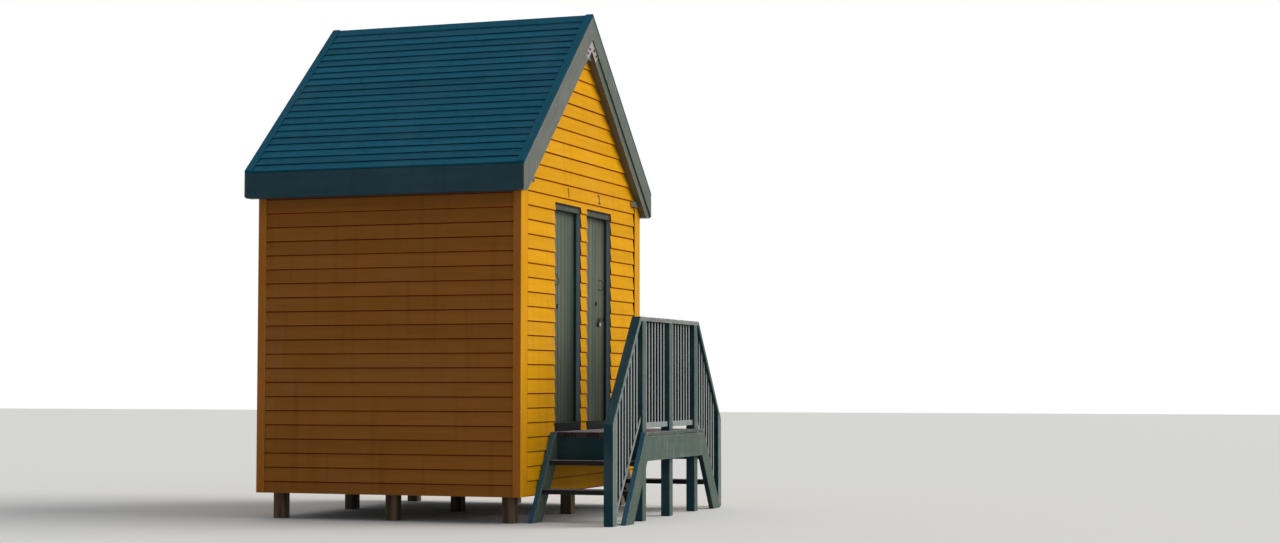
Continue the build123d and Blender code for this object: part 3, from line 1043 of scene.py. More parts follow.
# The roof's lap shade darkens the top of each course as painted shade and warms it toward the brown of the
# boards' butts.
ROOF_PAINT = Paint(
    "roof_paint",
    rgb(12, 93, 118),
    bare=rgb(60, 116, 134),
    wear=0.06,
    specks=0.03,
    roughness=0.6,
    gloss=0.06,
    fading=0.06,
    lap_shade=(2.6, 0.42, 0.37, 1.0),
)
# The verge strips' front faces are a darker teal as painted shade; their other faces keep the roof's colour.
VERGE_PAINT = replace(
    ROOF_PAINT,
    name="verge_paint",
    colour=rgb(10, 52, 66),
    shaded_side_colour=rgb(12, 93, 118),
    weather=(0.0, -1.0, 0.0),
)
# The barge boards' faces turned from the lit front, such as their undersides, take a browner colour as
# painted shade.
BARGE_PAINT = Paint(
    "left_barge_paint",
    rgb(99, 105, 96),
    shaded_side_colour=rgb(112, 108, 88),
    bare=rgb(178, 172, 178),
    wear=0.85,
    edge_reach=0.012,
    drips=0.35,
    specks=0.03,
    fading=0.12,
    gloss=0.12,
)
RIGHT_BARGE_PAINT = replace(BARGE_PAINT, name="right_barge_paint", colour=rgb(88, 99, 88))
# The plate ends' faces turned from the lit front are paler, as painted light.
BLOCK_PAINT = replace(
    BARGE_PAINT, name="block_paint", colour=rgb(84, 94, 84), shaded_side_colour=rgb(184, 178, 166), drips=0.0, wear=0.2
)
EAVE_PAINT = Paint(
    "eave_paint", rgb(50, 82, 94), wear=0.2, specks=0.04, fading=0.06, roughness=0.6, gloss=0.1
)
# The stair paint and its copies: faces turned from the lit front and top take a dark teal as painted shade.
STAIR_PAINT = Paint(
    "stair_paint",
    rgb(74, 92, 81),
    shaded_side_colour=rgb(28, 70, 82),
    weather=(0.2, -0.8, 0.55),
    lit_weather_fade=(0.1, 0.6),
    bare=rgb(172, 170, 166),
    wear=0.95,
    edge_reach=0.010,
    dirt=0.35,
    fading=0.15,
    relief=0.0009,
    gloss=0.1,
)
FASCIA_PAINT = replace(STAIR_PAINT, name="fascia_paint", drips=0.55, specks=0.14)
NOSING_PAINT = replace(STAIR_PAINT, name="nosing_paint", colour=rgb(64, 76, 70), edge_reach=0.014, drips=0.3)
# The posts' turned faces are dark as painted shade; the left stringer's turned faces are a sky blue as a
# painted reflection, the right one's dark as painted shade.
POST_PAINT = replace(STAIR_PAINT, name="post_paint", shaded_side_colour=rgb(42, 80, 96))
STRINGER_PAINT = {
    Side.LEFT: replace(STAIR_PAINT, name="left_stringer_paint", shaded_side_colour=rgb(62, 112, 138)),
    Side.RIGHT: replace(STAIR_PAINT, name="right_stringer_paint", shaded_side_colour=rgb(30, 56, 62)),
}
NEWEL_PAINT = replace(
    STAIR_PAINT, name="newel_paint", colour=rgb(101, 118, 111), wear=0.9, edge_reach=0.014, drips=0.45
)
RAIL_PAINT = replace(
    STAIR_PAINT,
    name="rail_paint",
    colour=rgb(120, 124, 119),
    bare=rgb(198, 192, 190),
    edge_reach=0.024,
    drips=0.4,
)
# The balusters' sides are near black as painted shade.
BAR_PAINT = replace(
    STAIR_PAINT,
    name="bar_paint",
    colour=rgb(142, 151, 149),
    shaded_side_colour=rgb(14, 34, 42),
    bare=rgb(214, 211, 212),
    wear=0.6,
    edge_reach=0.006,
    wear_grain=(14.0, 14.0, 0.4),
    relief=0.0003,
)
NUMERAL_PAINT = Paint("numeral_paint", rgb(46, 24, 6), wear=0.1, gloss=0.04)
# The deck's and treads' edges are dark as painted shade.
DECK_TIMBER = BareTimber("deck_boards", rgb(176, 168, 180), rgb(112, 102, 112), sides=rgb(44, 44, 46))
FLOOR_TIMBER = BareTimber("floor_boards", rgb(150, 128, 100), rgb(92, 74, 56))
FRAME_TIMBER = BareTimber("timber", rgb(142, 122, 98), rgb(82, 66, 50))
PLATE = Metal("zinc_plate", rgb(166, 160, 160), rgb(104, 92, 88), 0.6, spotting=0.35)
HASP_ZINC = Metal("hasp_zinc", rgb(96, 90, 84), rgb(70, 44, 26), 0.5, spotting=0.6)
IRON = Metal("black_iron", rgb(30, 30, 32), rgb(74, 44, 30), 0.55, 0.6)
BRASS = Metal("lock_brass", rgb(46, 46, 42), rgb(28, 26, 22), 0.45, 0.5)
STEEL = Metal("lock_steel", rgb(176, 188, 178), rgb(96, 96, 84), 0.5, 0.3, 0.2)
RUST = Metal("rusty_steel", rgb(100, 86, 60), rgb(30, 22, 16), 0.7, 0.0, 0.7, gloss=0.1)
BOLT_IRON = Metal("bolt_iron", rgb(52, 34, 34), rgb(30, 20, 18), 0.8, 0.0, gloss=0.1)
HOLE_BLACK = Metal("keyhole_black", rgb(8, 9, 9), rgb(12, 10, 8), 0.85, 0.0, gloss=0.05)


def hand_over(piece: Piece, look: bpy.types.Material, body: str, slot: str, *stands_for: str) -> Piece:
    """Gives a finished piece its material and its body, and reports it.

    Args:
        piece: The finished piece.
        look: Its material.
        body: The body that it moves with.
        slot: Not used.
        stands_for: The nodes of the frame that it replaces.

    Returns:
        The same piece.
    """
    piece.data.materials.clear()
    piece.data.materials.append(look)
    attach(piece, body)
    if stands_for:
        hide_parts(*stands_for)
    piece.data.calc_loop_triangles()
    log.info("%s: %d triangles, rides on %s", piece.name, len(piece.data.loop_triangles), body)
    return piece


@dataclass(frozen=True)
class Pane:
    """A rectangle of wall or roof that is covered with boards."""

    left: float
    right: float
    low: float
    high: float
    foot: bool = False


@dataclass
class Cladding:
    """Lapped boards, which lean out over each other from the wall or the roof."""

    exposure: float
    reach: float
    butt: float
    tip: float
    datum: float
    lap: float = 0.02
    nose: float = 0.0018
    unevenness: float = 0.0007
    foot_merge: float = 0.3
    low_sliver: float = 0.001
    top_sliver: float = 0.02

    def board(self) -> Piece:
        """Models one board, a metre long, whose upper edge lies on the plane Y = 0."""
        board = new_block("board", (0, -self.tip, 0), (1, 0, self.exposure + self.lap))
        slide(board, lambda place: place.z < HAIR and place.y < -HAIR, (0, self.tip - self.reach, 0))
        slide(board, lambda place: place.z < HAIR and place.y > -HAIR, (0, self.butt - self.reach, 0))
        ease_edges(board, lambda place: place.y < HAIR - self.reach and place.z < HAIR, self.nose)
        return board

    def cover(self, pattern: Piece, pane: Pane) -> Piece:
        """Covers one pane with copies of a board, cut to its size.

        Args:
            pattern: The board that is copied.
            pane: Where the boards go.

        Returns:
            The boards as one piece.
        """
        missed = self.foot_merge if pane.foot else self.low_sliver
        first = math.floor((pane.low - self.datum) / self.exposure + missed)
        last = math.ceil((pane.high - self.datum) / self.exposure - self.top_sliver)
        rows = []
        for number in range(first, last):
            height = self.datum + number * self.exposure
            tallness = 1.0
            if pane.foot and number == first and height > pane.low:
                tallness += (height - pane.low) / self.exposure
                height = pane.low
            sunk = self.unevenness * random.Random(number).random()
            rows.append(spare(pattern, (pane.left, sunk, height), (pane.right - pane.left, 1, tallness)))
        covered = fasten("boards", rows)
        if self.datum + first * self.exposure < pane.low - HAIR:
            trim(covered, (0, 0, pane.low), (0, 0, -1))
        trim(covered, (0, 0, pane.high), (0, 0, 1))
        trim(covered, (0, 0, 0), (0, 1, 0))
        return covered

    def raise_wall(self, name: str, panes: Sequence[Pane]) -> Piece:
        """Covers the panes of one wall.

        Args:
            name: The piece's name.
            panes: The wall's panes, as seen from outside.

        Returns:
            The boards, on the plane Y = 0.
        """
        pattern = self.board()
        wall = fasten(name, [self.cover(pattern, pane) for pane in panes])
        scrap(pattern)
        return wall


@dataclass
class Walls:
    """The weatherboards on the four walls."""

    places: Places
    corner_board: float = 0.150
    corner_return: float = 0.050
    corner_channel: float = 0.010
    channel_floor: float = 0.0015
    # The dark strips that stand for the shadow in the corner channels
    corner_strip: float = 0.002
    strip_depth: float = 0.0188
    clearance: float = 0.001
    ledger_room: float = 0.002
    jamb_cover: float = 0.037
    exposure: float = BOARD_EXPOSURE
    reach: float = BOARD_REACH
    butt: float = 0.0115
    tip: float = 0.0016
    close_reach: float = 0.0145
    close_butt: float = 0.009
    # The band of painted shade at the top of each row, under the next board's edge
    lap_shade_width: float = 0.011
    board_edge: float = 0.001
    head_gap: float = 0.019
    # The dark strip over each head stands for the shadow under the boards, and the black board before each
    # sill for the shade under the door
    flashing_depth: float = 0.003
    sill_shade_depth: float = 0.013
    sill_shade_rise: float = 0.027
    close_rows: int = 16
    strip_exposure: float = 0.1224
    strip_top: float = 0.033
    side_fall: float = 0.027
    barge_depth: float = 0.248
    apex_block: float = 0.077

    @property
    def boards(self) -> Cladding:
        """The rows of boards, set out from the heads of the doorways."""
        return Cladding(self.exposure, self.reach, self.butt, self.tip, self.places.head + NUMERAL_BOARD)

    @property
    def close_boards(self) -> Cladding:
        """The rows behind the landing and the stair, which lie closer to the wall."""
        return replace(self.boards, reach=self.close_reach, butt=self.close_butt)

    @property
    def strip_boards(self) -> Cladding:
        """The rows between the doors, which don't quite meet the others."""
        return replace(self.boards, exposure=self.strip_exposure, datum=self.places.head - self.strip_top)

    @property
    def side_boards(self) -> Cladding:
        """The rows of the side walls, which lie a little lower than the front's."""
        return replace(self.boards, datum=self.boards.datum - self.side_fall)

    @property
    def half_width(self) -> float:
        """From the middle of a gable to the inner edge of its corner boards."""
        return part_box("front_corner_boards")[1].x - self.corner_board - self.corner_channel

    def gable_panes(self) -> list[Pane]:
        """Lays out the gable above the corner boards, which is cut to the slopes later."""
        places = self.places
        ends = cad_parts["plate_ends"].data.vertices
        between = min(abs(vertex.co.x) for vertex in ends) - self.clearance
        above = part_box("plate_ends")[1].z
        wide = (places.apex - above) / places.slope
        peak = places.roof_z(0, self.barge_depth) - self.apex_block - self.clearance
        return [Pane(-between, between, places.corner_top, above), Pane(-wide, wide, above, peak)]

    def cut_gable(self, wall: Piece) -> None:
        """Cuts the boards along the lower edges of the inner barge boards.

        Args:
            wall: The boards of a gable, before they are put in place.
        """
        places = self.places
        edge = Vector((0, 0, places.roof_z(0, self.barge_depth + self.clearance)))
        for side in Side:
            fall = places.down_slope(side)
            trim(wall, edge, (-side.value * fall.z, 0, side.value * fall.x))

    def foot_panes(self) -> list[Pane]:
        """Lays out the foot of the front, behind the landing's ledger and beside the doors."""
        places = self.places
        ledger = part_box("landing_ledger")
        wide = self.half_width
        beside = ledger[1].x + self.ledger_room
        inner = places.door_inner + self.jamb_cover
        outer = places.door_outer - self.jamb_cover
        step = self.boards.datum - self.close_rows * self.boards.exposure
        return [
            Pane(-wide, wide, places.skirt, ledger[0].z - self.ledger_room, foot=True),
            Pane(-wide, -beside, ledger[0].z - self.ledger_room, ledger[1].z),
            Pane(beside, wide, ledger[0].z - self.ledger_room, ledger[1].z),
            Pane(-wide, -outer, ledger[1].z, step),
            Pane(-inner, inner, ledger[1].z, places.sill),
            Pane(outer, wide, ledger[1].z, step),
        ]

    def front_panes(self) -> list[Pane]:
        """Lays out the front beside and over the doorways, up to its gable."""
        places = self.places
        wide = self.half_width
        inner = places.door_inner + self.jamb_cover
        outer = places.door_outer - self.jamb_cover
        step = self.boards.datum - self.close_rows * self.boards.exposure
        over = places.head + self.head_gap
        return [
            Pane(-wide, -outer, step, self.boards.datum),
            Pane(-outer, -inner, over, self.boards.datum),
            Pane(-inner, inner, places.head, self.boards.datum),
            Pane(inner, outer, over, self.boards.datum),
            Pane(outer, wide, step, self.boards.datum),
            Pane(-wide, wide, self.boards.datum, places.corner_top),
            *self.gable_panes(),
        ]

    def dark_board(self, name: str, side: Side, box: tuple[float, float, float], paint: Paint) -> None:
        """Fixes a dark board across a doorway, over its head or before its sill, as painted shade:
        the shadow under the boards over the head, and the shade under the door before the sill.

        Args:
            name: What it is called, after its side.
            side: The doorway.
            box: Its depth, its lower edge and its upper edge.
            paint: Its finish.
        """
        places = self.places
        depth, low, high = box
        across = (places.door_inner + self.jamb_cover, places.door_outer - self.jamb_cover)
        left, right = sorted(side.value * x for x in across)
        nearest = (left, places.front - depth, low)
        board = new_block(f"{side.word}_{name}", nearest, (right, places.front, high))
        hand_over(round_off(board, self.board_edge), paint.material(ACROSS), "hut", "door_paint")

    def corner_shadow_strips(self) -> None:
        """Lines the channels between the boards and the corner boards with dark strips, as painted
        shadow in the channels.
        """
        places = self.places
        near = self.half_width
        far = near + self.corner_channel
        strips = []
        for side in Side:
            for start, depth in ((near, self.channel_floor), (far - self.corner_strip, self.strip_depth)):
                left, right = sorted(side.value * x for x in (start, far))
                for low, high in ((places.front - depth, places.front), (places.rear, places.rear + depth)):
                    top = (right, high, places.corner_top)
                    strips.append(new_block("strip", (left, low, places.skirt), top))
        hand_over(fasten("corner_shadow_strips", strips), SHADOW_STRIP_PAINT.material(UPRIGHT), "hut", "wall_paint")

    def finish(self, wall: Piece, boards: Cladding, stand: Matrix, grain: Vector = ACROSS) -> None:
        """Puts a wall's boards in their place and hands them over.

        Args:
            wall: The boards.
            boards: How they are set out.
            stand: Where the wall stands.
            grain: The way the boards run.
        """
        wall.matrix_world = stand
        settle(wall)
        rows = Courses(UPRIGHT, boards.exposure, boards.datum % boards.exposure, lap=self.lap_shade_width)
        hand_over(wall, WALL_PAINT.material(grain, rows), "hut", "wall_paint")

    def build(self) -> None:
        """Covers the front, the back and both sides."""
        places = self.places
        wide = self.half_width
        deep = (places.rear - places.front) / 2 - self.corner_return - self.clearance
        inner = places.door_inner + self.jamb_cover
        front = Matrix.Translation((0, places.front, 0))
        back = Matrix.Translation((0, places.rear, 0)) @ Matrix.Rotation(math.pi, 4, "Z")
        back_panes = [Pane(-wide, wide, places.skirt, places.corner_top, foot=True), *self.gable_panes()]
        for name, panes, stand in (("front", self.front_panes(), front), ("back", back_panes, back)):
            wall = self.boards.raise_wall(f"{name}_weatherboards", panes)
            self.cut_gable(wall)
            self.finish(wall, self.boards, stand)
        foot = self.close_boards.raise_wall("front_foot_weatherboards", self.foot_panes())
        self.finish(foot, self.close_boards, front)
        between = Pane(-inner, inner, places.sill, places.head)
        strip = self.strip_boards.raise_wall("middle_weatherboards", [between])
        self.finish(strip, self.strip_boards, front)
        for side in Side:
            turn = Matrix.Rotation(side.value * math.pi / 2, 4, "Z")
            stand = Matrix.Translation((side.value * places.wall_x, places.middle_y, 0)) @ turn
            pane = Pane(-deep, deep, places.skirt, places.soffit - self.clearance, foot=True)
            wall = self.side_boards.raise_wall(f"{side.word}_weatherboards", [pane])
            self.finish(wall, self.side_boards, stand, DEEP)
            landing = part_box("landing_ledger")[1].z
            # Painted shade: a black board before each sill and a dark strip over each head
            sill_box = (self.sill_shade_depth, landing, places.sill + self.sill_shade_rise)
            self.dark_board("threshold", side, sill_box, SILL_SHADE_PAINT)
            head_box = (self.flashing_depth, places.head, places.head + self.head_gap)
            self.dark_board("flashing", side, head_box, SHADOW_STRIP_PAINT)
        self.corner_shadow_strips()


@dataclass
class Roof:
    """The lapped boards on the two slopes, between the verge strips."""

    places: Places
    rows: int = 21
    reach: float = 0.0155
    butt: float = 0.010
    tip: float = 0.005
    nose: float = 0.003
    # The band of painted shade at the top of each row, under the next board's edge
    lap_shade_width: float = 0.008
    cap_leg: float = 0.095
    slab_depth: float = 0.018
    strip_overlap: float = 0.025
    clearance: float = 0.001

    def build(self) -> None:
        """Covers both slopes, from the eave up to the ridge cap."""
        places = self.places
        length = places.eave_x / math.cos(places.pitch) - self.cap_leg - self.clearance
        exposure = length / self.rows
        boards = Cladding(exposure, self.reach, self.butt, self.tip, datum=0.0, nose=self.nose)
        half = (places.rear - places.front) / 2 + self.strip_overlap - self.clearance
        for side in Side:
            up = -places.down_slope(side)
            out = Vector((side.value * math.sin(places.pitch), 0, math.cos(places.pitch)))
            eave = Vector((side.value * places.eave_x, places.middle_y, 0))
            eave.z = places.roof_z(places.eave_x, self.slab_depth)
            along = (-out).cross(up)
            stand = Matrix((along, -out, up)).transposed().to_4x4()
            stand.translation = eave
            roof = boards.raise_wall(f"{side.word}_roof_boards", [Pane(-half, half, 0, length)])
            roof.matrix_world = stand
            settle(roof)
            trim(roof, (side.value * places.eave_x, 0, 0), (side.value, 0, 0))
            courses = Courses(up, exposure, eave.dot(up), lap=self.lap_shade_width)
            hand_over(roof, ROOF_PAINT.material(DEEP, courses), "hut", "roof_paint")


@dataclass
class Door:
    """One leaf of upright matched boards, with ledges and braces on its back."""

    side: Side
    board_count: int = 8
    board_thickness: float = 0.024
    groove: float = 0.0065
    ledge_height: float = 0.110
    ledge_inset: float = 0.012
    ledge_end: float = 0.160
    ledge_count: int = 3
    brace_width: float = 0.095
    keyhole_x: float = 0.481
    keyhole_z: float = 1.843
    keyhole_shift: float = 0.028
    keyhole_radius: float = 0.011
    keyhole_depth: float = 0.006
    keyhole_seat: float = 0.001
    keyhole_stretch: float = 2.0
    keyhole_rim: float = 0.45
    keyhole_sink: float = 0.003
    back_edge: float = 0.002
    pull_radius: float = 0.0033
    pull_bow: tuple[tuple[float, float], ...] = (
        (-0.06, 0.90),
        (0.36, 1.0),
        (0.72, 0.79),
        (0.96, 0.52),
        (1.0, 0.33),
        (0.84, 0.15),
        (0.48, 0.07),
        (0.2, 0.12),
        (-0.06, 0.2),
    )

    def matched_boards(self, low: Vector, high: Vector) -> Piece:
        """Models the boards of the face, with a groove at each joint.

        Args:
            low: The leaf's lowest corner.
            high: Its highest corner, with Y at the back of the boards.

        Returns:
            The boards.
        """
        width = (high.x - low.x) / self.board_count
        board = new_block("boards", low, (low.x + width, high.y, high.z))
        ease_edges(board, lambda place: place.y < low.y + HAIR and place.x < low.x + HAIR, self.groove, 1)
        far = low.x + width
        ease_edges(board, lambda place: place.y < low.y + HAIR and place.x > far - HAIR, self.groove, 1)
        apply_modifier(
            board,
            "ARRAY",
            count=self.board_count,
            use_relative_offset=False,
            use_constant_offset=True,
            constant_offset_displace=(width, 0, 0),
        )
        return board

    def back_frame(self, low: Vector, high: Vector) -> list[Piece]:
        """Models the ledges and the braces between them.

        Args:
            low: The leaf's lowest corner, with Y at the back of the boards.
            high: Its highest corner.

        Returns:
            The ledges and the braces.
        """
        gap = (high.z - low.z - 2 * self.ledge_end) / (self.ledge_count - 1)
        heights = [low.z + self.ledge_end + number * gap for number in range(self.ledge_count)]
        left, right = low.x + self.ledge_inset, high.x - self.ledge_inset
        half = self.ledge_height / 2
        made = [new_block("ledge", (left, low.y, z - half), (right, high.y, z + half)) for z in heights]
        foot = right - self.brace_width if self.side is Side.LEFT else left
        lean = (left - foot) if self.side is Side.LEFT else right - self.brace_width - foot
        for below, above in zip(heights, heights[1:]):
            top = above - half
            brace = new_block("brace", (foot, low.y, below + half), (foot + self.brace_width, high.y, top))
            slide(brace, lambda place, top=top: place.z > top - HAIR, (lean, 0, 0))
            made.append(brace)
        return [round_off(piece, self.back_edge, 1) for piece in made]

    def keyhole(self, face: float) -> Piece:
        """Models an oval escutcheon with a slot sunk in it.

        Args:
            face: Where the leaf's face stands, along Y.

        Returns:
            The escutcheon.
        """
        height = self.keyhole_z + self.side.value * self.keyhole_shift
        middle = face + self.keyhole_seat - self.keyhole_depth / 2
        centre = Vector((self.side.value * self.keyhole_x, middle, height))
        plate = new_disc(f"{self.side.word}_keyhole", centre, self.keyhole_radius, self.keyhole_depth)
        with editing(plate):
            bpy.ops.transform.resize(value=(1, 1, self.keyhole_stretch), center_override=centre)
        front = centre.y - self.keyhole_depth / 2
        with editing(plate, lambda place: place.y < front + HAIR / 2, "FACE"):
            bpy.ops.mesh.inset(thickness=self.keyhole_radius * self.keyhole_rim)
            bpy.ops.mesh.extrude_region_move(TRANSFORM_OT_translate={"value": (0, self.keyhole_sink, 0)})
        return smooth(plate)

    def pull(self) -> Piece:
        """Models the bowed pull handle within the room of its node."""
        low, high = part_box(f"{self.side.word}_door_pull")
        radius = self.pull_radius
        x = (low.x + high.x) / 2
        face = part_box(self.side.door)[0].y
        reach = face - low.y - radius
        bottom, top = low.z + radius, high.z - radius
        path = [(x, face - out * reach, bottom + up * (top - bottom)) for out, up in self.pull_bow]
        return bent_rod(f"{self.side.word}_pull", path, radius)

    def build(self) -> None:
        """Builds the leaf and what is fixed on its face."""
        low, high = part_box(self.side.door)
        board_back = low.y + self.board_thickness
        boards = self.matched_boards(low, Vector((high.x, board_back, high.z)))
        parts = [boards, *self.back_frame(Vector((low.x, board_back, low.z)), high)]
        leaf = fasten(f"{self.side.word}_door_boards", parts)
        width = (high.x - low.x) / self.board_count
        look = DOOR_PAINT.material(UPRIGHT, Courses(ACROSS, width, low.x % width))
        body = self.side.door
        hand_over(leaf, look, body, "door_paint", body)
        hand_over(self.keyhole(low.y), HOLE_BLACK.material(), body, "black_iron")
        hand_over(self.pull(), IRON.material(), body, "black_iron", f"{self.side.word}_door_pull")


@dataclass
class Lock:
    """The hasp's staple and the padlock on the right door."""

    body: str = Side.RIGHT.door
    plate_thickness: float = 0.003
    staple_radius: float = 0.009
    staple_rod: float = 0.0025
    shackle_radius: float = 0.013
    shackle_rod: float = 0.0042
    case_height: float = 0.038
    face_inset: float = 0.004
    face_proud: float = 0.0008
    face_seat: float = 0.002
    face_edge: float = 0.0006
    case_edge: float = 0.004
    plate_edge: float = 0.0012
    staple_seat: float = 0.001
    shackle_seat: float = 0.004
    bolt_radius: float = 0.005
    bolt_depth: float = 0.004
    bolt_edge: float = 0.001
    bolt_shares: tuple[float, ...] = (0.12, 0.42)

    def bolt(self, centre: Vector) -> Piece:
        """Models one rounded bolt of the hasp."""
        return round_off(new_disc("bolt", centre, self.bolt_radius, self.bolt_depth), self.bolt_edge)

    def build(self) -> None:
        """Builds the hasp and the padlock that hangs from it."""
        low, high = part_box("hasp")
        case_low, case_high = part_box("padlock")
        x = (case_low.x + case_high.x) / 2
        plate_y = high.y - self.plate_thickness
        middle = (low.z + high.z) / 2
        plate = new_block("hasp_plate", (low.x, plate_y, low.z), (high.x, high.y, high.z))
        round_off(plate, self.plate_edge)
        seat = plate_y + self.staple_seat
        bend = plate_y - self.staple_radius
        reach = bend - self.staple_radius
        staple = bent_rod(
            "staple",
            [
                (x, seat, middle + self.staple_radius),
                (x, bend, middle + self.staple_radius),
                (x, reach, middle),
                (x, bend, middle - self.staple_radius),
                (x, seat, middle - self.staple_radius),
            ],
            self.staple_rod,
        )
        across = [low.x + share * (high.x - low.x) for share in self.bolt_shares]
        bolts = [self.bolt(Vector((place, plate_y, middle))) for place in across]
        hasp = fasten("lock_hasp", [plate, staple, *bolts])
        hand_over(hasp, HASP_ZINC.material(), self.body, "zinc_plate", "hasp")

        y = (case_low.y + case_high.y) / 2
        case_top = case_low.z + self.case_height
        case = new_block("case", case_low, (case_high.x, case_high.y, case_top))
        round_off(case, self.case_edge, 3)
        hand_over(smooth(case), BRASS.material(), self.body, "lock_brass", "padlock")
        inset = self.face_inset
        face = new_block(
            "padlock_face",
            (case_low.x + inset, case_low.y - self.face_proud, case_low.z + inset),
            (case_high.x - inset, case_low.y + self.face_seat, case_top - inset),
        )
        hand_over(round_off(face, self.face_edge), STEEL.material(), self.body, "lock_brass")
        bow = case_high.z - self.shackle_rod
        shoulder = bow - self.shackle_radius
        foot = case_top - self.shackle_seat
        shackle = bent_rod(
            "padlock_shackle",
            [
                (x - self.shackle_radius, y, foot),
                (x - self.shackle_radius, y, shoulder),
                (x, y, bow),
                (x + self.shackle_radius, y, shoulder),
                (x + self.shackle_radius, y, foot),
            ],
            self.shackle_rod,
        )
        hand_over(shackle, RUST.material(), self.body, "zinc_plate")


@dataclass
class GableTrim:
    """What is fixed on the gables: numerals over the doors and bolts in the apex plates."""

    places: Places
    numeral_height: float = 0.088
    numeral_x: float = 0.38
    numeral_z: float = 2.806
    numeral_thickness: float = 0.004
    numeral_swelling: float = 0.025
    board_tip: float = 0.0037
    bolt_radius: float = 0.012
    bolt_depth: float = 0.006
    bolt_round: float = 0.45
    bolt_seat: float = 0.001
    bolt_places: tuple[tuple[float, float], ...] = ((0.052, 0.204), (0.104, 0.200))

    def numeral(self, side: Side, text: str) -> Piece:
        """Models a painted numeral that lies on the lean of a weatherboard.

        Args:
            side: The door that it stands over.
            text: The numeral.

        Returns:
            The numeral as a thin closed mesh.
        """
        select_only()
        bpy.ops.object.text_add(location=(0, 0, 0))
        figure = bpy.context.object
        figure.data.body = text
        figure.data.align_x = "CENTER"
        figure.data.align_y = "CENTER"
        figure.data.extrude = self.numeral_thickness
        figure.data.offset = self.numeral_swelling
        bpy.ops.object.convert(target="MESH")
        figure = bpy.context.object
        figure.name = f"{side.word}_numeral"
        size = self.numeral_height / figure.dimensions.y
        figure.scale = (size, size, size)
        lean = math.atan((BOARD_REACH - self.board_tip) / BOARD_EXPOSURE)
        figure.rotation_euler = (math.pi / 2 - lean, 0, 0)
        above_lap = self.numeral_z - (self.places.head + NUMERAL_BOARD)
        face = BOARD_REACH - math.tan(lean) * above_lap
        figure.location = (side.value * self.numeral_x, self.places.front - face, self.numeral_z)
        return settle(figure)

    def bolts(self, name: str, face: float, way: int) -> Piece:
        """Models the domed bolts of one apex plate.

        Args:
            name: The piece's name.
            face: Where the plate's face stands, along Y.
            way: -1 on the front and 1 on the back.

        Returns:
            The bolts as one piece.
        """
        pattern = new_disc("bolt", Vector((0, face, 0)), self.bolt_radius, 2 * self.bolt_depth, 12)
        round_off(pattern, self.bolt_depth * self.bolt_round)
        rows = []
        for x, depth in self.bolt_places:
            for side in Side:
                rows.append(spare(pattern, (side.value * x, 0, self.places.roof_z(x, depth))))
        scrap(pattern)
        bolts = fasten(name, rows)
        trim(bolts, (0, face - way * self.bolt_seat, 0), (0, -way, 0))
        return smooth(bolts, 30)

    def build(self) -> None:
        """Builds the numerals and the bolts."""
        paint = NUMERAL_PAINT.material(UPRIGHT)
        for side, text in ((Side.LEFT, "1"), (Side.RIGHT, "2")):
            hand_over(self.numeral(side, text), paint, "hut", "wall_paint")
        low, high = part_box("apex_plates")
        iron = BOLT_IRON.material()
        hand_over(self.bolts("front_apex_bolts", low.y, -1), iron, "hut", "black_iron")
        hand_over(self.bolts("back_apex_bolts", high.y, 1), iron, "hut", "black_iron")


@dataclass
class Deck:
    """The boards of the landing, which run along the hut."""

    gap: float = 0.008
    back_rows: int = 7
    edge: float = 0.004
    post_room: float = 0.002
    nosing: float = 0.027
    nosing_gap: float = 0.003
    half_post_share: float = 9 / 16

    def row(self, left: float, right: float, front: float, back: float) -> Piece:
        """Models one board of the deck.

        Args:
            left: Where it starts along X.
            right: Where it ends.
            front: Its front edge.
            back: Its back edge.

        Returns:
            The board.
        """
        low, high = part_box("landing_deck")
        board = new_block("deck_board", (left, front, low.z), (right, back, high.z))
        return round_off(board, self.edge)

    def build(self) -> None:
        """Lays short boards between the posts and long ones behind them."""
        low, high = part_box("landing_deck")
        posts_low, posts_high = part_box("landing_posts")
        fascia_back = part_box("landing_fascia")[1].y
        half_post = (posts_high.y - posts_low.y) * self.half_post_share
        inner = half_post + self.post_room
        outer = high.x - 2 * half_post - self.post_room
        start = posts_high.y + self.post_room
        pitch = (high.y - start + self.gap) / self.back_rows
        back = posts_high.y - self.gap / 2
        spans = ((-outer, -inner), (inner, outer))
        boards = [self.row(left, right, fascia_back, back) for left, right in spans]
        for number in range(self.back_rows):
            front = start + number * pitch
            boards.append(self.row(low.x, high.x, front, front + pitch - self.gap))
        deck = fasten("deck_boards", boards)
        look = DECK_TIMBER.material(ACROSS, Courses(DEEP, pitch, (start - self.gap / 2) % pitch))
        hand_over(deck, look, "hut", "deck_boards", "landing_deck")
        self.front_edge()

    def front_edge(self) -> None:
        """Models the fascia and, on top of it, the edge of the deck's first board."""
        low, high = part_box("landing_fascia")
        under = high.z - self.nosing
        fascia = new_block("fascia_board", low, (high.x, high.y, under - self.nosing_gap))
        paint = FASCIA_PAINT.material(ACROSS)
        hand_over(round_off(fascia, self.edge), paint, "hut", "door_paint", "landing_fascia")
        nosing = new_block("deck_nosing", (low.x, low.y, under), (high.x, high.y - self.post_room, high.z))
        hand_over(round_off(nosing, self.edge), NOSING_PAINT.material(ACROSS), "hut", "door_paint")


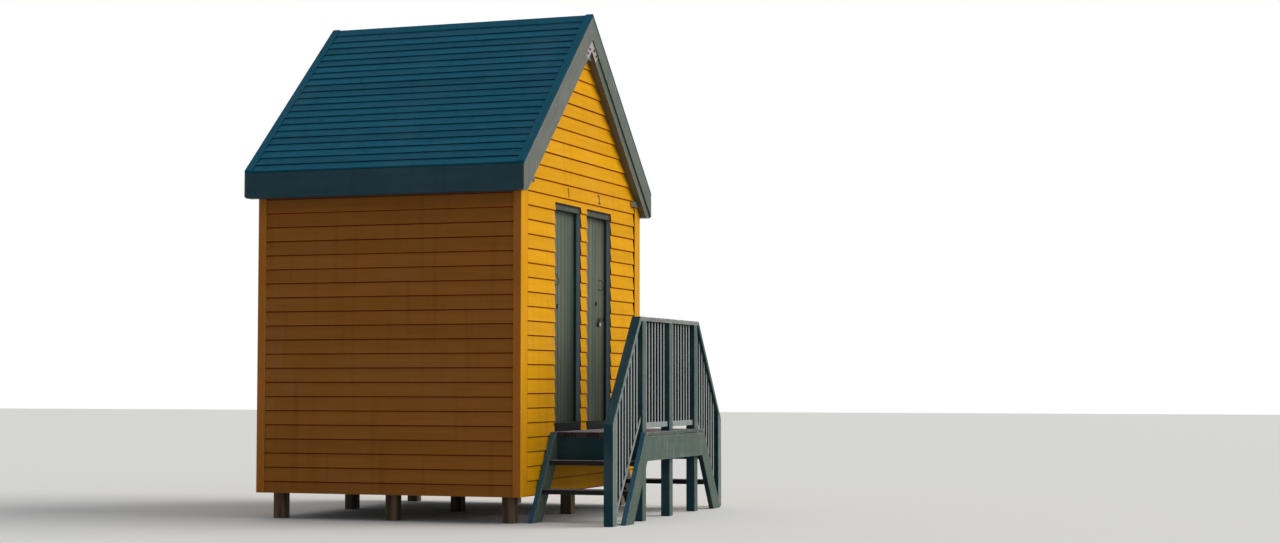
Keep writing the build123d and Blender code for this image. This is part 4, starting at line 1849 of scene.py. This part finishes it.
@dataclass
class Joinery:
    """The nodes of the frame that stay, each with its finish and its eased edges."""

    places: Places
    flight_slope: float = 235 / 160
    rail_slope: float = 890 / 680
    edge_angle: float = 30.0
    wall_rows: tuple[float, float, float] = (0.12, 0.02, 0.004)
    floor_rows: tuple[float, float, float] = (0.11, 0.0, 0.003)
    roof_rows: tuple[float, float, float] = (0.0987, 0.0, 0.004)

    def dress(self, names: Sequence[str], look: bpy.types.Material, edge: float = 0.0) -> None:
        """Gives nodes a material and, where they show, soft edges.

        Args:
            names: The nodes.
            look: Their material.
            edge: How far their edges are eased.
        """
        for name in names:
            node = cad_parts[name]
            node.data.materials.clear()
            node.data.materials.append(look)
            if edge:
                weld = node.modifiers.new("Weld", "WELD")
                weld.merge_threshold = WELDED
                bevel = node.modifiers.new("Bevel", "BEVEL")
                bevel.width = edge
                bevel.segments = 2
                bevel.limit_method = "ANGLE"
                bevel.angle_limit = math.radians(self.edge_angle)
            log.info("%s: dressed in %s", name, look.name)

    def build(self) -> None:
        """Dresses every node."""
        raw_rows = Courses(UPRIGHT, *self.wall_rows)
        planks = Courses(ACROSS, *self.floor_rows)
        front = ["front_wall_left", "front_wall_right", "front_wall_middle", "front_skirt", "front_gable"]
        for names, look, edge in (
            (["stilts", "bearers"], FRAME_TIMBER.material(UPRIGHT), 0.004),
            (["floor_joists", "rafters", "ridge_board"], FRAME_TIMBER.material(DEEP), 0.002),
            (["floor"], FLOOR_TIMBER.material(DEEP, planks), 0.0),
            ([*front, "back_wall"], FRAME_TIMBER.material(ACROSS, raw_rows), 0.0),
            (["left_wall", "right_wall"], FRAME_TIMBER.material(DEEP, raw_rows), 0.0),
            (["front_corner_boards", "back_corner_boards"], CORNER_LIGHT_MATCHED_PAINT.material(UPRIGHT), 0.003),
            (["ridge_cap"], ROOF_PAINT.material(DEEP), 0.002),
            (["eave_fascias", "soffits"], EAVE_PAINT.material(DEEP), 0.003),
            (["plate_ends"], BLOCK_PAINT.material(DEEP), 0.003),
            (["apex_plates"], PLATE.material(), 0.0008),
            (["left_door_frame", "right_door_frame"], FRAME_PAINT.material(UPRIGHT), 0.002),
            (["landing_posts"], POST_PAINT.material(UPRIGHT), 0.004),
            (["newels"], NEWEL_PAINT.material(UPRIGHT), 0.004),
            (["landing_fascia"], FASCIA_PAINT.material(ACROSS), 0.0),
            (["landing_ledger"], STAIR_PAINT.material(ACROSS), 0.0),
            (["top_handrail"], RAIL_PAINT.material(ACROSS), 0.004),
            (["landing_joists", "landing_end_boards"], STAIR_PAINT.material(DEEP), 0.003),
            (["left_treads", "right_treads"], DECK_TIMBER.material(DEEP), 0.004),
        ):
            self.dress(names, look, edge)
        iron = IRON.material()
        for side in Side:
            word = side.word
            fall = self.places.down_slope(side)
            roof_boards = FRAME_TIMBER.material(DEEP, Courses(fall, *self.roof_rows))
            self.dress([f"roof_{word}"], roof_boards)
            barge_paint = BARGE_PAINT if side is Side.LEFT else RIGHT_BARGE_PAINT
            barge_boards = [f"{word}_barge_boards", f"{word}_inner_barge_boards"]
            self.dress(barge_boards, barge_paint.material(fall), 0.004)
            self.dress([f"{word}_verge_strips"], VERGE_PAINT.material(fall), 0.003)
            flight = Vector((side.value, 0, -self.flight_slope)).normalized()
            self.dress([f"{word}_stringers"], STRINGER_PAINT[side].material(flight), 0.005)
            rail = Vector((side.value, 0, -self.rail_slope)).normalized()
            rail_paint = NEWEL_PAINT if side is Side.LEFT else STAIR_PAINT
            self.dress([f"{word}_handrail"], rail_paint.material(rail), 0.004)
            bars = BAR_PAINT.material(UPRIGHT)
            self.dress([f"{word}_bay_balusters", f"{word}_flight_balusters"], bars, 0.003)
            self.dress([f"{word}_frame_hinges", f"{word}_door_straps"], iron, 0.0005)


@dataclass
class Studio:
    """The floor, the light and the camera."""

    camera_place: tuple[float, float, float] = (-17.095, -7.3265, 1.16)
    camera_heading: tuple[float, float] = (0.94402, 0.33005)
    camera_pitch: float = 3.07
    lens: float = 58.05
    floor_half: float = 60.0
    sun_from: tuple[float, float, float] = (0.32, -0.85, 0.6)
    sun_strength: float = 2.3
    sun_angle: float = 50.0
    sky_strength: tuple[float, float] = (0.05, 0.60)
    sky_bright_side: tuple[float, float, float] = (0.62, -0.62, 0.48)
    floor_seen: Colour = (0.80, 0.79, 0.77, 1.0)
    floor_plain: Colour = (0.42, 0.41, 0.40, 1.0)
    floor_roughness: float = 0.9
    sun_colour: tuple[float, float, float] = (1.0, 0.97, 0.92)
    sky_colour: Colour = (0.90, 0.95, 1.0, 1.0)
    sky_seen: Colour = (1.0, 1.0, 1.0, 1.0)

    def floor(self) -> None:
        """Lays a plain floor, which looks pale but throws little light back."""
        select_only()
        bpy.ops.mesh.primitive_plane_add(size=2 * self.floor_half, location=(0, 0, 0))
        floor = bpy.context.object
        floor.name = "floor"
        settle(floor)
        look = Brew("pale_floor")
        look.coat("Base Color", look.mix(look.seen_directly(), self.floor_plain, self.floor_seen))
        look.coat("Roughness", self.floor_roughness)
        floor.data.materials.append(look.material)

    def light(self) -> None:
        """Sets one wide soft lamp and a pale sky, which looks white to the camera."""
        lamp = bpy.data.lights.new("sun", "SUN")
        lamp.energy = self.sun_strength
        lamp.angle = math.radians(self.sun_angle)
        lamp.color = self.sun_colour
        sun = bpy.data.objects.new("sun", lamp)
        sun.rotation_euler = Vector(self.sun_from).to_track_quat("Z", "Y").to_euler()
        bpy.context.scene.collection.objects.link(sun)
        world = bpy.data.worlds.new("sky")
        world.use_nodes = True
        bpy.context.scene.world = world
        sky = Wiring(world.node_tree)
        ways = sky.node("ShaderNodeTexCoord").outputs["Generated"]
        turned = sky.vector("DOT_PRODUCT", ways, self.sky_bright_side, "Value")
        strength = sky.fill(sky.node("ShaderNodeMapRange"), turned, -1.0, 1.0, *self.sky_strength)
        lighting = sky.fill(sky.tree.nodes["Background"], self.sky_colour, strength.outputs[0])
        shown = sky.fill(sky.node("ShaderNodeBackground"), self.sky_seen)
        both = sky.node("ShaderNodeMixShader")
        sky.fill(both, sky.seen_directly(), lighting.outputs[0], shown.outputs[0])
        sky.wire(sky.tree.nodes["World Output"].inputs["Surface"], both.outputs[0])

    def camera(self) -> None:
        """Puts the camera where the photograph was taken from."""
        lens = bpy.data.cameras.new("camera")
        lens.lens = self.lens
        lens.clip_end = 4 * self.floor_half
        camera = bpy.data.objects.new("camera", lens)
        pitch = math.radians(self.camera_pitch)
        ahead = Vector((*(share * math.cos(pitch) for share in self.camera_heading), math.sin(pitch)))
        camera.location = self.camera_place
        camera.rotation_euler = ahead.to_track_quat("-Z", "Y").to_euler()
        bpy.context.scene.collection.objects.link(camera)
        bpy.context.scene.camera = camera

    def build(self) -> None:
        """Sets the stage up."""
        self.floor()
        self.light()
        self.camera()
        bpy.context.scene.view_settings.view_transform = "Standard"


def main() -> None:
    """Builds the pieces in order and reports them."""
    logging.basicConfig(level=logging.INFO, format="%(message)s", force=True)
    places = Places.from_frame()
    Studio().build()
    Walls(places).build()
    Roof(places).build()
    for side in Side:
        Door(side).build()
    Lock().build()
    GableTrim(places).build()
    Deck().build()
    Joinery(places).build()


if __name__ == "__main__":
    main()
